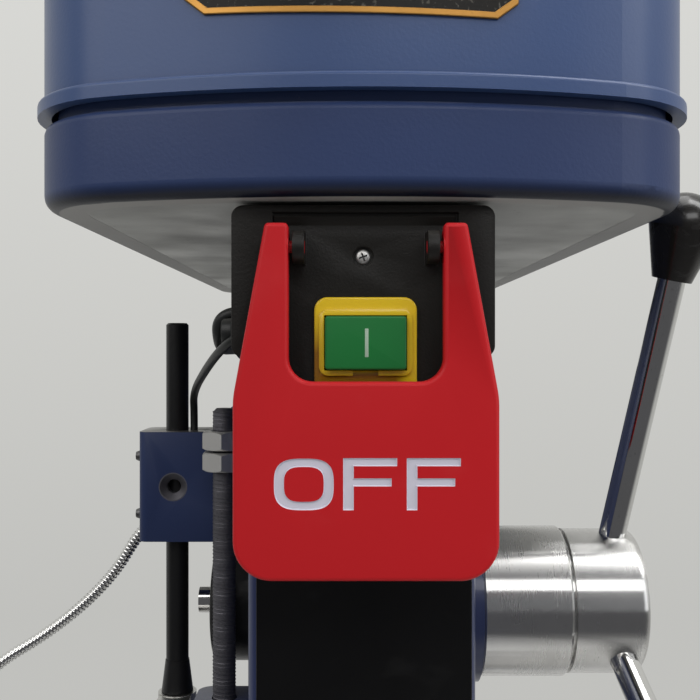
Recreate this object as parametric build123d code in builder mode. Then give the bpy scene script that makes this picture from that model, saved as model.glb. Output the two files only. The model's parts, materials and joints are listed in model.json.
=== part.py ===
from build123d import *
from math import acos, cos, pi, radians, sin, sqrt, tan
import os

# Bench drill press. X is right, Y is back, Z is up. The origin is on the bench, under the column's axis.
# All lengths are millimetres.

# Clearances
fit = 0.05  # running fit of a shaft, on the radius
gap = 0.3  # between faces that pass each other

# Base casting
base_w = 280.0
base_l = 460.0
base_h = 42.0
base_corner = 32.0
base_edge = 5.0
base_rear = 100.0  # column axis to the rear edge
base_skin = 14.0
base_wall = 12.0
base_rib = 8.0
base_cells_x = 3
base_cells_y = 5
foot_hole_d = 13.0
foot_boss_d = 32.0
foot_inset = 26.0
base_slot_w = 14.0
base_slot_l = 150.0
base_slot_pitch = 124.0
pad_w = 190.0
pad_l = 210.0
pad_h = 3.0
pad_corner = 12.0

# Column, its flange and its rack
column_d = 73.0
column_wall = 6.0
flange_d = 176.0
flange_t = 18.0
flange_h = 96.0
socket_wall = 14.0
flange_bolt_circle = 142.0
flange_bolt_d = 12.0
flange_bolt_af = 18.0
flange_bolt_head = 8.0
flange_bolt_depth = 22.0
rack_w = 20.0
rack_web = 4.0
rack_h = 420.0
rack_ring_h = 18.0
rack_ring_wall = 13.0

# Rack and pinion teeth
gear_module = 2.0
feed_teeth = 13
lift_teeth = 13
pressure = 20.0  # degrees
rack_tip = 1.4
rack_root = 2.6
pinion_tip = 2.0
pinion_root = 1.9
backlash = 0.3

# Head casting
throat = 190.0  # column surface to spindle axis
head_top = 933.0
head_h = 293.0
head_w = 87.0
head_front = 43.5  # spindle axis to the front face
head_back = 76.5  # spindle axis to the back of the square barrel
head_corner = 5.0
nose_d = 84.0
square_h = 238.0
square_edge = 4.0
nose_edge = 3.0
web_w = 80.0
web_wall = 10.0
web_h = 243.0
clamp_wall = 15.0
clamp_h = 253.0
clamp_edge = 4.0
clamp_cap = 12.0
deck_h = 28.0
deck_w = 82.0
deck_rear_out = 10.5  # behind the column clamp
feed_drop = 168.0  # head top to feed shaft
feed_boss_d = 72.0
feed_boss = 9.3  # stands out from the right side
panel_w = 82.0
panel_t = 2.0
panel_h = 231.0
panel_corner = 2.0

# Quill, spindle and chuck
quill_d = 54.0
quill_travel = 80.0
quill_nose = 28.0  # shows below the head
quill_cap = 20.0
quill_bore = 32.0
rack_inset = 3.0
rack_margin = 13.0
bearing_d = 42.0
bearing_bore = 20.0
bearing_w = 13.0
spindle_collar_d = 28.0
spindle_collar_h = 8.0
taper_top_d = 20.0
taper_end_d = 18.0
taper_l = 32.0
spline_d = 18.0
spline_root_d = 15.0
spline_w = 3.0
splines = 6
chuck_l = 94.0
chuck_cap_d = 50.0
chuck_cap_h = 24.0
chuck_core_d = 46.0
sleeve_d = 56.0
sleeve_h = 40.0
sleeve_teeth = 24
sleeve_tooth_d = 8.0
sleeve_tooth_h = 4.0
chuck_nose_d = 34.0
chuck_bore = 17.0
chuck_bore_l = 50.0
key_hole_d = 8.0
key_hole_l = 12.0
jaw_d = 8.0
jaw_l = 43.0
jaw_angle = 12.0
jaw_reach = 10.0  # tips below the chuck nose
jaw_open_r = 9.0  # jaw axis to spindle axis at the tips
jaws = 3

# Depth stop
collar_h = 24.0
collar_wall = 9.0
collar_gap = 1.8  # below the head
stop_out_x = 14.2  # rod's axis beside the head
stop_arm_w = 20.0
stop_arm_h = 16.0
stop_eye_d = 22.0
stop_rod_d = 10.0
stop_rod_drop = 77.6  # head top to the rod's top
stop_nut_af = 17.0
stop_nut_h = 8.0
stop_nut_drop = 26.4  # rod's top to the lower nut's foot
stop_nut_gap = 0.9
stop_lug_drop = 214.0
stop_lug_h = 14.0
stop_lug_w = 28.0
stop_lug_corner = 6.0
stop_lug_end = 12.3  # beyond the rod's axis

# Feed shaft, hub and handles
feed_tooth_l = 32.0
feed_core_d = 20.0
feed_left_d = 18.0
feed_stub_d = 12.0
hub_d = 67.0
hub_l = 40.2
hub_outer_d = 64.5
hub_outer_l = 32.0
hub_groove = 1.6
hub_edge = 2.0
spoke_d = 12.0
spoke_l = 150.0
spoke_seat = 20.0
spoke_lean = 10.0
spokes = 3
spoke_turn = 100.0
knob_l = 38.0
knob_d = 30.0
knob_neck_d = 17.0
knob_bore_l = 18.0
spring_cap_d = 53.5
spring_cap_l = 22.3
spring_cap_wall = 2.5
spring_cap_edge = 2.5
spring_t = 0.8
spring_w = 15.0
spring_pitch = 2.4
spring_turns = 7
stub_out = 7.8

# Switch box, module and paddle
box_w = 90.2
box_drop = 3.5  # head top to the box's top
box_h = 52.0
box_d = 34.0
box_wall = 3.0
box_corner = 4.0
box_foot_w = 78.0
box_full_h = 97.5
switch_x = 0.8  # module, ears and paddle beside the box's middle
recess_w = 63.5
recess_drop = 2.5
recess_d = 1.5
ear_x = 20.5
ear_t = 4.0
ear_d = 11.0
hinge_drop = 15.0  # box top to the paddle's hinge
hinge_out = 8.0  # hinge in front of the recess
hinge_pin_d = 4.2
screw_d = 7.0
screw_drop = 17.5
bezel_w = 35.0
bezel_drop = 31.5  # box top to the bezel's top
bezel_h = 58.0
bezel_t = 3.0
bezel_corner = 4.5
module_wall = 2.0
module_d = 24.0
rim_w = 1.8
rim_t = 1.2
rim_break = 8.5
button_w = 27.5
button_h = 18.1
button_corner = 1.5
button_l = 15.0
start_drop = 15.6  # bezel top to the button's middle
start_out = 3.5
stop_drop = 43.5
stop_out = 1.5
paddle_w = 88.2
paddle_rise = 7.6  # above the hinge
paddle_h = 118.5
paddle_t = 5.0
paddle_out = 5.5  # front face before the hinge
paddle_arm_w = 67.0
paddle_slot_l = 52.6
paddle_flare_l = 58.1
ear_gap = 1.2  # between an ear and the paddle's arm
paddle_slot_corner = 8.0
paddle_foot_corner = 13.0
paddle_shoulder_r = 30.0
paddle_edge = 1.6
knuckle_d = 10.5

# Belt guard
guard_half = 120.0
guard_front = 93.5  # spindle axis to the front
guard_front_r = 300.0
guard_front_corner = 45.0
guard_rear_out = 100.0  # motor axis to the rear
guard_rear_r = 160.0
guard_rear_corner = 50.0
pan_t = 2.0
pan_h = 31.2
pan_edge = 6.0
pan_flange = 16.0
pan_rim_in = 5.0
pan_rim_h = 13.0
floor_t = 2.5
sleeve_hole_d = 96.0
motor_slot_w = 60.0
motor_slot_l = 110.0
cover_lift = 3.4
cover_h = 99.4
cover_t = 2.5
cover_edge = 20.0
lip_out = 2.5
lip_h = 5.5
lip_edge = 1.5
guard_hinge_out = 9.0
guard_hinge_d = 9.0
guard_hinge_pin_d = 4.0
guard_leaf_l = 16.0
guard_hinge_front = 76.5  # front hinge behind the spindle axis
guard_hinge_rear = 55.0  # rear hinge before the motor axis

# Pulleys and belt
motor_y = 185.0
pulley_lift = 12.5
pulley_step = 15.0
pulley_rs = (70.0, 60.0, 50.0, 40.0)
pulley_rim = 1.5
groove_depth = 9.0
groove_foot = 5.0
belt_level = 1
belt_top_w = 10.0
belt_foot_w = 5.0
belt_h = 6.5
belt_sink = 1.5
drive_sleeve_d = 30.0
drive_bearing_d = 52.0
drive_bearing_w = 14.0
sleeve_drop = 7.0

# Motor and its slide
motor_d = 132.0
motor_fin = 5.0
motor_fin_t = 3.0
motor_fins = 30
motor_drop = 33.0  # head top to the motor's top
motor_h = 178.0
motor_bell = 22.0
motor_wall = 8.0
motor_edge = 6.0
motor_shaft_d = 16.0
rotor_d = 96.0
rotor_l = 120.0
fan_cover_h = 42.0
fan_cover_t = 2.5
fan_slots = 16
fan_slot_w = 5.0
fan_slot_l = 33.0
fan_slot_circle = 82.0
foot_w = 100.0
foot_h = 80.0
plate_w = 174.0
plate_h = 92.0
plate_t = 12.0
foot_l = 19.0  # plate to the motor's shell
plate_corner = 10.0
slide_out_x = 31.2  # rod's axis beside the column
slide_drop = 102.0
slide_d = 20.0
slide_boss_d = 34.0
slide_boss_l = 84.0
slide_boss_edge = 3.0
slide_rod_out = 2.0
slide_lock_d = 8.0
slide_knob_d = 24.0
slide_knob_h = 14.0
slide_knob_flutes = 8
slide_knob_flute_d = 4.0
slide_lock_drop = 10.0

# Chuck guard
block_w = 53.5
block_d = 28.0
block_y = 12.5  # spindle axis to the block's front
block_drop = 136.7  # head top to the block's foot
block_h = 47.9
block_corner = 4.0
guard_rod_d = 9.9
guard_rod_out = 38.2  # rod's axis beside the head
guard_rod_y = 23.5  # behind the spindle axis
guard_rod_rise = 47.8  # above the block
guard_rod_tail = 5.4  # below its nut
ferrule_drop = 68.3  # block's foot to the ferrule's foot
ferrule_h = 14.0
ferrule_d = 14.0
clamp_hole_d = 6.6
clamp_sink_d = 12.0
knuckle_h = 22.0
knuckle_wall = 3.5
rod_nut_af = 13.0
rod_nut_h = 8.0
strap_w = 14.0
strap_t = 4.0
tab_rise = 80.0  # above the shield's foot
tab_h = 30.0
tab_back = 3.0  # short of the shield's edge
shield_r = 52.0
shield_t = 2.5
shield_drop = 5.0  # below the chuck's nose
shield_h = 120.0
shield_spread = 68.0

# Work lamp
lamp_neck_d = 5.5
lamp_seat_x = 7.0  # from the block's left face
lamp_seat_z = 8.7  # from the block's foot
lamp_points = ((0.0, 15.0, 0.0), (-15.0, 16.0, -11.0), (-29.0, 16.0, -35.0),
               (-56.0, 14.0, -59.0), (-88.0, 8.0, -77.0), (-103.0, 0.0, -107.0), (-88.0, -7.0, -135.0))
lamp_radii = (8.0, 25.0, 40.0, 30.0, 22.0, 22.0)
lamp_socket_d = 13.0
lamp_socket_l = 5.0
lamp_head_d = 34.0
lamp_head_l = 46.0
lamp_head_wall = 2.5
lamp_head_edge = 6.0
lamp_glass_in = 3.0

# Leads held between the switch box and the head
motor_lead_d = 4.6
interlock_lead_d = 3.3
motor_lead_drop = 36.0  # box top to the lead's exit
motor_lead_fall = 13.0
motor_lead_out = 8.2  # from the box's left side
motor_lead_in = 21.5  # behind the box's front
motor_lead_lean = 5.0
motor_lead_radii = (5.4, 8.0)
gland_d = 12.0
gland_l = 14.0
gland_web = 8.0
gland_behind = 51.0  # gland's mouth behind the spindle axis
interlock_points = ((-10.0, 9.0, -45.0), (-18.5, 36.0, -55.5))  # from the box's left front top corner
interlock_radii = (5.6, 40.0, 10.0)
interlock_in = 7.5  # right of the guard rod's axis
interlock_fall = 15.8  # last straight run above the block

# Table, its bracket and its arm
table_w = 280.0
table_top = 400.0
table_t = 14.0
table_rib = 8.0
table_rib_w = 16.0
table_rim_w = 12.0
table_corner = 28.0
table_edge = 1.5
table_hub_d = 92.0
table_hole_d = 26.0
table_post_d = 40.0
table_post_l = 58.0
table_slot_w = 14.0
table_slot_l = 76.0
table_slot_x = 82.0
table_slot_y = 74.0
gutter_w = 7.0
gutter_d = 3.0
gutter_in = 6.0
tilt_drop = 62.0  # table top to tilt axis
tilt_out = 66.5  # tilt face behind the spindle axis
tilt_disc_d = 74.0
tilt_disc_t = 12.0
tilt_bolt_d = 16.0
tilt_bolt_af = 24.0
tilt_bolt_head = 11.0
tilt_bolt_l = 54.0
post_wall = 13.0
post_socket_h = 55.0
cheek_x = 16.0
cheek_t = 13.0
cheek_h = 50.0
beam_w = 52.0
beam_h = 54.0
beam_corner = 19.0
beam_pocket_w = 30.0
beam_pocket_l = 26.0
beam_web = 8.0
arm_wall = 17.0
arm_drop = 138.0  # table top to the clamp's foot
arm_h = 108.0
arm_slit = 3.0
ear_reach = 45.0
ear_h = 36.0
ear_w = 32.0
ear_rise = 40.0  # above the clamp's foot
lift_rise = 56.0
gearbox_w = 48.0
gearbox_h = 58.0
gearbox_wall = 6.0
lift_face = 22.0
lift_shaft_d = 16.0
crank_out = 8.5  # beside the arm's clamp
crank_l = 95.0
crank_w = 22.0
crank_t = 9.0
crank_pin_d = 9.0
crank_cap_d = 16.0
crank_cap_t = 3.0
grip_l = 52.0
grip_d = 24.0
grip_end_d = 18.0
lever_hub_d = 22.0
lever_hub_l = 18.0
lever_screw_d = 12.0
lever_rod_d = 9.0
lever_l = 70.0
lever_ball_d = 20.0
column_lock_angle = 235.0
table_lock_angle = 290.0
lock_boss_d = 26.0
lock_boss_l = 12.0

# Places worked out from the sizes
column_r = column_d / 2
spindle_y = -(throat + column_r)
pitch = pi * gear_module
feed_r = gear_module * feed_teeth / 2
lift_r = gear_module * lift_teeth / 2
feed_y = spindle_y + quill_d / 2 - rack_inset + feed_r
feed_z = head_top - feed_drop
head_bottom = head_top - head_h
arm_z = table_top - arm_drop
ear_z = arm_z + ear_rise
lift_z = arm_z + lift_rise
lift_y = column_r + gap + rack_web + rack_root + lift_r
flange_top = base_h + flange_h
rack_foot = flange_top + gap
rack_top = rack_foot + rack_h
head_half = head_w / 2
head_front_y = spindle_y - head_front
head_back_y = spindle_y + head_back
clamp_r = column_r + clamp_wall
square_z = head_top - square_h
web_z = head_top - web_h
clamp_z = head_top - clamp_h
deck_rear = clamp_r + deck_rear_out
deck_z = head_top - deck_h
column_top = deck_z - clamp_cap
panel_y = head_front_y - panel_t
panel_top = head_top - panel_t
panel_foot = panel_top - panel_h
quill_z = head_bottom - quill_nose
quill_rack_low = feed_z - rack_margin
quill_rack_high = feed_z + quill_travel + rack_margin
quill_top = quill_rack_high + quill_cap
chuck_top = quill_z - spindle_collar_h
chuck_nose_z = chuck_top - chuck_l
sleeve_top = chuck_top - chuck_cap_h - gap
sleeve_z = sleeve_top - sleeve_h
pan_z = head_top - pan_t
pan_top = pan_z + pan_h
cover_z = pan_top + cover_lift
cover_top = cover_z + cover_h
guard_hinge_x = -(guard_half + guard_hinge_out)
guard_hinge_z = (pan_top + cover_z) / 2
pulley_z = head_top + floor_t + pulley_lift
pulley_top = pulley_z + pulley_step * len(pulley_rs)
belt_z = pulley_z + pulley_step * (belt_level + 0.5)
drive_seat_z = quill_top + sleeve_drop
hub_x = head_half + feed_boss + gap
hub_outer_x = hub_x + hub_l
hub_end = hub_outer_x + hub_outer_l
spring_cap_x = -head_half - spring_cap_l
stub_x = spring_cap_x - stub_out
stop_x = head_half + stop_out_x
stop_rod_top = head_top - stop_rod_drop
stop_nut_z = stop_rod_top - stop_nut_drop
stop_lug_z = head_top - stop_lug_drop
box_top = head_top - box_drop
box_foot = box_top - box_full_h
box_left = -box_w / 2
box_front_y = panel_y - box_d
recess_y = box_front_y + recess_d
box_z = box_top - box_h
hinge_y = recess_y - hinge_out
hinge_z = box_top - hinge_drop
paddle_y = hinge_y - paddle_out
paddle_top = hinge_z + paddle_rise
paddle_foot = paddle_top - paddle_h
paddle_slot_w = 2 * (ear_x + ear_t + ear_gap)
bezel_top = box_top - bezel_drop
bezel_z = bezel_top - bezel_h
start_z = bezel_top - start_drop
stop_z = bezel_top - stop_drop
motor_r = motor_d / 2
motor_top = head_top - motor_drop
motor_foot = motor_top - motor_h
plate_y = motor_y - motor_r - foot_l - plate_t
slide_x = column_r + slide_out_x
slide_z = head_top - slide_drop
slide_front = -slide_boss_l / 2 - slide_rod_out
guard_rear = motor_y + guard_rear_out
guard_hinge_ys = (spindle_y + guard_hinge_front, motor_y - guard_hinge_rear)
block_front_y = spindle_y + block_y
block_left = -head_half - block_w
block_z = head_top - block_drop
block_top = block_z + block_h
guard_rod_x = head_half + guard_rod_out
guard_rod_top = block_top + guard_rod_rise
ferrule_z = block_z - ferrule_drop
knuckle_top = ferrule_z - gap
knuckle_foot = knuckle_top - knuckle_h
shield_z = chuck_nose_z - shield_drop
shield_edge_x = -(shield_r - shield_t / 2) * sin(radians(shield_spread))
tab_z = shield_z + tab_rise
rod_y = spindle_y + guard_rod_y
gland_y = spindle_y + gland_behind
strap_front = spindle_y - (shield_r - shield_t / 2) * cos(radians(shield_spread))
motor_lead_x = box_left - motor_lead_out
motor_lead_z = box_top - motor_lead_drop
motor_lead_low = motor_lead_z - motor_lead_fall
lead_y = box_front_y + motor_lead_in
tilt_z = table_top - tilt_drop
tilt_y = spindle_y + tilt_out
table_under = table_top - table_t - table_rib
arm_r = column_r + arm_wall
crank_x = arm_r + crank_out
post_r = table_post_d / 2 + post_wall


def facing_right(x, y, z):
    return Plane(origin=(x, y, z), x_dir=(0, 1, 0), z_dir=(1, 0, 0))


def facing_front(x, y, z):
    return Plane(origin=(x, y, z), x_dir=(1, 0, 0), z_dir=(0, -1, 0))


def facing_back(x, y, z):
    return Plane(origin=(x, y, z), x_dir=(-1, 0, 0), z_dir=(0, 1, 0))


def facing_up(x, y, z):
    return Plane(origin=(x, y, z))


def rod(plane, radius, length, mode=Mode.ADD):
    with Locations(plane):
        Cylinder(radius, length, align=(Align.CENTER, Align.CENTER, Align.MIN), mode=mode)


def block(low, high, mode=Mode.ADD):
    size = [top - foot for foot, top in zip(low, high)]
    with Locations(low):
        Box(*size, align=(Align.MIN, Align.MIN, Align.MIN), mode=mode)


def hexagon(plane, across_flats, length, mode=Mode.ADD):
    with BuildSketch(plane) as profile:
        RegularPolygon(across_flats / 2, 6, major_radius=False, rotation=30)
    extrude(profile.sketch, amount=length, mode=mode)


def turned(x, y, points):
    """Solid of revolution about an upright axis, from (radius, height) points."""
    with BuildSketch(Plane(origin=(x, y, 0), x_dir=(1, 0, 0), z_dir=(0, -1, 0))) as profile:
        with BuildLine():
            Polyline(*points, close=True)
        make_face()
    revolve(profile.sketch, axis=Axis((x, y, 0), (0, 0, 1)))


def tube(points, radii, diameter):
    """Round lead or bent tube along straight runs and tangent arcs."""
    with BuildLine() as route:
        FilletPolyline(*points, radius=radii)
    start = route.wire() @ 0
    heading = route.wire() % 0
    with BuildSketch(Plane(origin=start, z_dir=heading)) as section:
        Circle(diameter / 2)
    sweep(section.sketch, path=route.wire())


def pinion_points(teeth):
    """Outline of a pinion with a tooth gap facing -Y, in the plane of the wheel."""
    radius = gear_module * teeth / 2
    base = radius * cos(radians(pressure))
    tip = radius + pinion_tip
    thickness = pitch / 2 - backlash / 2

    def half_angle(at):
        roll = acos(base / at)
        roll_pitch = radians(pressure)
        return thickness / (2 * radius) + (tan(roll_pitch) - roll_pitch) - (tan(roll) - roll)

    flank = [base, (base + radius) / 2, radius, (radius + tip) / 2, tip]
    points = []
    for tooth in range(teeth):
        middle = pi + 2 * pi * (tooth + 0.5) / teeth
        left = [(at, middle - half_angle(at)) for at in flank]
        right = [(at, middle + half_angle(at)) for at in reversed(flank)]
        outline = [(radius - pinion_root, left[0][1])] + left + right
        outline.append((radius - pinion_root, right[-1][1]))
        points += [(at * cos(angle), at * sin(angle)) for at, angle in outline]
    return points


def rack_points(low, high, centre, root):
    """Tooth line of a rack along Z: (depth, height) points, with a tooth centred at one height."""
    slope = tan(radians(pressure))
    half = pitch / 4 - backlash / 4
    first = int((low - centre) / pitch) - 1
    last = int((high - centre) / pitch) + 1
    points = []
    for tooth in range(first, last + 1):
        z = centre + tooth * pitch
        foot = half + rack_root * slope
        crest = half - rack_tip * slope
        if z - foot < low or z + foot > high:
            continue
        points += [(root, z - foot), (root + rack_root + rack_tip, z - crest)]
        points += [(root + rack_root + rack_tip, z + crest), (root, z + foot)]
    return points


def guard_face(grow):
    """Outline of the belt guard from above, grown by an amount."""
    front_y = spindle_y - guard_front
    front_side = front_y + guard_front_r - sqrt(guard_front_r**2 - guard_half**2)
    rear_side = guard_rear - guard_rear_r + sqrt(guard_rear_r**2 - guard_half**2)
    with BuildSketch() as outline:
        with BuildLine():
            ThreePointArc((-guard_half, front_side), (0, front_y), (guard_half, front_side))
            Line((guard_half, front_side), (guard_half, rear_side))
            ThreePointArc((guard_half, rear_side), (0, guard_rear), (-guard_half, rear_side))
            Line((-guard_half, rear_side), (-guard_half, front_side))
        make_face()
        fillet(outline.vertices().group_by(Axis.Y)[0], guard_front_corner)
        fillet(outline.vertices().group_by(Axis.Y)[-1], guard_rear_corner)
        if grow:
            offset(amount=grow)
    return outline.sketch


def guard_slab(grow, low, high, mode=Mode.ADD):
    extrude(guard_face(grow).moved(Location((0, 0, low))), amount=high - low, mode=mode)


def lever(plane, angle, screw_l):
    """Clamp lever: screw behind the plane, hub before it, rod and ball at an angle."""
    back = Plane(origin=plane.origin, x_dir=plane.x_dir, z_dir=-plane.z_dir)
    rod(back, lever_screw_d / 2, screw_l)
    rod(plane, lever_hub_d / 2, lever_hub_l)
    heading = plane.x_dir * cos(radians(angle)) + plane.y_dir * sin(radians(angle))
    middle = plane.origin + plane.z_dir * (lever_hub_l / 2)
    rod(Plane(origin=middle, z_dir=heading), lever_rod_d / 2, lever_l)
    with Locations(middle + heading * lever_l):
        Sphere(lever_ball_d / 2)


# Base: ribbed hollow casting with a solid boss under the column
base_y = base_rear - base_l / 2
column_boss_r = flange_bolt_circle / 2 + flange_bolt_d
foot_pitch_x = base_w - 2 * foot_inset
foot_pitch_y = base_l - 2 * foot_inset
cell_w = (base_w - 2 * base_wall - (base_cells_x - 1) * base_rib) / base_cells_x
cell_l = (base_l - 2 * base_wall - (base_cells_y - 1) * base_rib) / base_cells_y
with BuildPart() as base:
    with BuildSketch():
        with Locations((0, base_y)):
            RectangleRounded(base_w, base_l, base_corner)
    extrude(amount=base_h)
    fillet(base.edges().group_by(Axis.Z)[-1], base_edge)
    with BuildSketch(Plane.XY.offset(base_h)):
        with Locations((0, spindle_y)):
            RectangleRounded(pad_w, pad_l, pad_corner)
    extrude(amount=pad_h)
    with BuildSketch():
        with Locations((0, base_y)):
            with GridLocations(cell_w + base_rib, cell_l + base_rib, base_cells_x, base_cells_y):
                RectangleRounded(cell_w, cell_l, base_rib)
            with Locations((0, -base_y)):
                Circle(column_boss_r, mode=Mode.SUBTRACT)
            with GridLocations(foot_pitch_x, foot_pitch_y, 2, 2):
                Circle(foot_boss_d / 2, mode=Mode.SUBTRACT)
    extrude(amount=base_h - base_skin, mode=Mode.SUBTRACT)
    with BuildSketch(Plane.XY.offset(base_h + pad_h)):
        with Locations((0, spindle_y)):
            with GridLocations(base_slot_pitch, 0, 2, 1):
                SlotOverall(base_slot_l, base_slot_w, rotation=90)
    extrude(amount=-(base_h + pad_h), mode=Mode.SUBTRACT)
    with BuildSketch():
        with Locations((0, base_y)):
            with GridLocations(foot_pitch_x, foot_pitch_y, 2, 2):
                Circle(foot_hole_d / 2)
    extrude(amount=base_h, mode=Mode.SUBTRACT)
    with BuildSketch(Plane.XY.offset(base_h)):
        with PolarLocations(flange_bolt_circle / 2, 4, start_angle=45):
            Circle(flange_bolt_d / 2)
    extrude(amount=-flange_bolt_depth, mode=Mode.SUBTRACT)
base.part.label = "base"

# Column flange: turned socket on a disc with four bolt holes
socket_r = column_r + socket_wall
with BuildPart() as column_flange:
    rod(facing_up(0, 0, base_h), flange_d / 2, flange_t)
    rod(facing_up(0, 0, base_h), socket_r, flange_h)
    fillet(column_flange.edges().filter_by(GeomType.CIRCLE).group_by(Axis.Z)[1][-1:], socket_wall / 2)
    rod(facing_up(0, 0, base_h), column_r, flange_h, Mode.SUBTRACT)
    with Locations((0, 0, base_h)):
        with PolarLocations(flange_bolt_circle / 2, 4, start_angle=45):
            Cylinder(flange_bolt_d / 2, flange_t, align=(Align.CENTER, Align.CENTER, Align.MIN),
                     mode=Mode.SUBTRACT)
column_flange.part.label = "column_flange"

with BuildPart() as flange_bolts:
    with BuildSketch(Plane.XY.offset(base_h + flange_t)):
        with PolarLocations(flange_bolt_circle / 2, 4, start_angle=45):
            RegularPolygon(flange_bolt_af / 2, 6, major_radius=False)
    extrude(amount=flange_bolt_head)
    with BuildSketch(Plane.XY.offset(base_h + flange_t)):
        with PolarLocations(flange_bolt_circle / 2, 4, start_angle=45):
            Circle(flange_bolt_d / 2)
    extrude(amount=-(flange_t + flange_bolt_depth))
flange_bolts.part.label = "flange_bolts"

with BuildPart() as column:
    rod(facing_up(0, 0, base_h), column_r, column_top - base_h)
    rod(facing_up(0, 0, base_h), column_r - column_wall, column_top - base_h, Mode.SUBTRACT)
column.part.label = "column"

# Column rack: toothed bar on the back of the column, free to swing round it
rack_back = column_r + gap
with BuildPart() as column_rack:
    teeth_line = rack_points(rack_foot, rack_top, lift_z, rack_back + rack_web)
    with BuildSketch(Plane.YZ.offset(-rack_w / 2)):
        with BuildLine():
            Polyline(
                (rack_back, rack_foot),
                (rack_back + rack_web, rack_foot),
                *teeth_line,
                (rack_back + rack_web, rack_top),
                (rack_back, rack_top),
                close=True,
            )
        make_face()
    extrude(amount=rack_w)
column_rack.part.label = "column_rack"

ring_z = rack_top + gap
with BuildPart() as rack_ring:
    rod(facing_up(0, 0, ring_z), column_r + rack_ring_wall, rack_ring_h)
    chamfer(rack_ring.edges().group_by(Axis.Z)[-1], rack_ring_wall / 5)
    rod(facing_up(0, 0, ring_z), column_r, rack_ring_h, Mode.SUBTRACT)
rack_ring.part.label = "rack_ring"

# Table arm: split clamp on the column, gearbox at the back, beam and tilt disc in front
beam_y = tilt_y + tilt_disc_t
gearbox_back = lift_y + lift_r + pinion_tip + gearbox_wall
ear_end = -(column_r + ear_reach)
column_lock_x = -(arm_r + (column_r + ear_reach)) / 2
column_lock_z = ear_z + ear_h / 2
bearing_x = crank_x - gap
with BuildPart() as table_arm:
    rod(facing_up(0, 0, arm_z), arm_r, arm_h)
    with BuildSketch(facing_back(0, tilt_y, tilt_z)):
        Circle(tilt_disc_d / 2)
    extrude(amount=tilt_disc_t)
    with BuildSketch(facing_back(0, beam_y, tilt_z)):
        RectangleRounded(beam_w, beam_h, beam_corner)
    extrude(amount=-beam_y - column_r)
    block((-gearbox_w / 2, 0, lift_z - gearbox_h / 2), (gearbox_w / 2, gearbox_back, lift_z + gearbox_h / 2))
    rod(facing_right(0, lift_y, lift_z), lift_shaft_d / 2 + gearbox_wall, bearing_x)
    block((ear_end, -ear_w / 2, ear_z), (0, ear_w / 2, ear_z + ear_h))
    rod(facing_up(0, 0, arm_z), column_r + fit, arm_h, Mode.SUBTRACT)
    block((ear_end, -arm_slit / 2, arm_z), (0, arm_slit / 2, arm_z + arm_h), Mode.SUBTRACT)
    rack_slot = rack_back + rack_web + rack_root + rack_tip + gap
    block((-rack_w / 2 - gap, 0, arm_z), (rack_w / 2 + gap, rack_slot, arm_z + arm_h), Mode.SUBTRACT)
    rod(facing_right(-lift_face / 2 - gap, lift_y, lift_z), lift_r + pinion_tip + gap, lift_face + 2 * gap,
        Mode.SUBTRACT)
    rod(facing_right(-gearbox_w / 2, lift_y, lift_z), lift_shaft_d / 2 + fit, gearbox_w / 2 + bearing_x,
        Mode.SUBTRACT)
    rod(facing_back(column_lock_x, -ear_w / 2, column_lock_z), lever_screw_d / 2 + fit, ear_w, Mode.SUBTRACT)
    rod(facing_back(0, tilt_y, tilt_z), tilt_bolt_d / 2, tilt_bolt_l, Mode.SUBTRACT)
    block(
        (-beam_pocket_w / 2, beam_y + beam_web, tilt_z - beam_h),
        (beam_pocket_w / 2, beam_y + beam_web + beam_pocket_l, tilt_z + beam_pocket_w / 2),
        Mode.SUBTRACT,
    )
table_arm.part.label = "table_arm"

# Lift pinion with its shaft, crank and turning grip
with BuildPart() as lift_pinion:
    with BuildSketch(facing_right(-lift_face / 2, lift_y, lift_z)):
        with BuildLine():
            Polyline(*pinion_points(lift_teeth), close=True)
        make_face()
    extrude(amount=lift_face)
    rod(facing_right(-gearbox_w / 2, lift_y, lift_z), lift_shaft_d / 2, gearbox_w / 2 + crank_x + crank_t)
lift_pinion.part.label = "lift_pinion"

crank_end = lift_z + crank_l
grip_x = crank_x + crank_t + gap
with BuildPart() as crank_arm:
    with BuildSketch(facing_right(crank_x, lift_y, lift_z)):
        with Locations((0, crank_l / 2)):
            SlotCenterToCenter(crank_l, crank_w, rotation=90)
        Circle(lift_shaft_d / 2, mode=Mode.SUBTRACT)
    extrude(amount=crank_t)
    rod(facing_right(crank_x, lift_y, crank_end), crank_pin_d / 2, crank_t + grip_l + 2 * gap)
    rod(facing_right(grip_x + grip_l + gap, lift_y, crank_end), crank_cap_d / 2, crank_cap_t)
crank_arm.part.label = "crank_arm"

grip_axis = Axis((0, lift_y, crank_end), (1, 0, 0))
with BuildPart() as crank_grip:
    with BuildSketch(Plane(origin=(grip_x, lift_y, crank_end), x_dir=(1, 0, 0), z_dir=(0, -1, 0))):
        with BuildLine():
            bore = crank_pin_d / 2 + fit
            Polyline((0, grip_end_d / 2), (0, bore), (grip_l, bore), (grip_l, grip_end_d / 2))
            ThreePointArc((0, grip_end_d / 2), (grip_l / 2, grip_d / 2), (grip_l, grip_end_d / 2))
        make_face()
    revolve(axis=grip_axis)
crank_grip.part.label = "crank_grip"

with BuildPart() as column_lock_lever:
    lever(facing_front(column_lock_x, -ear_w / 2 - gap, column_lock_z), column_lock_angle, ear_w + gap)
column_lock_lever.part.label = "column_lock_lever"

# Tilt bolt through the tilt disc, its nut in the pocket of the beam
bolt_head_y = tilt_y - tilt_disc_t - 2 * gap
with BuildPart() as tilt_bolt:
    hexagon(facing_front(0, bolt_head_y, tilt_z), tilt_bolt_af, tilt_bolt_head)
    rod(facing_back(0, bolt_head_y, tilt_z), tilt_bolt_d / 2, tilt_y + tilt_bolt_l - bolt_head_y)
    hexagon(facing_back(0, beam_y + beam_web, tilt_z), tilt_bolt_af, tilt_bolt_head)
tilt_bolt.part.label = "tilt_bolt"

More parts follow.
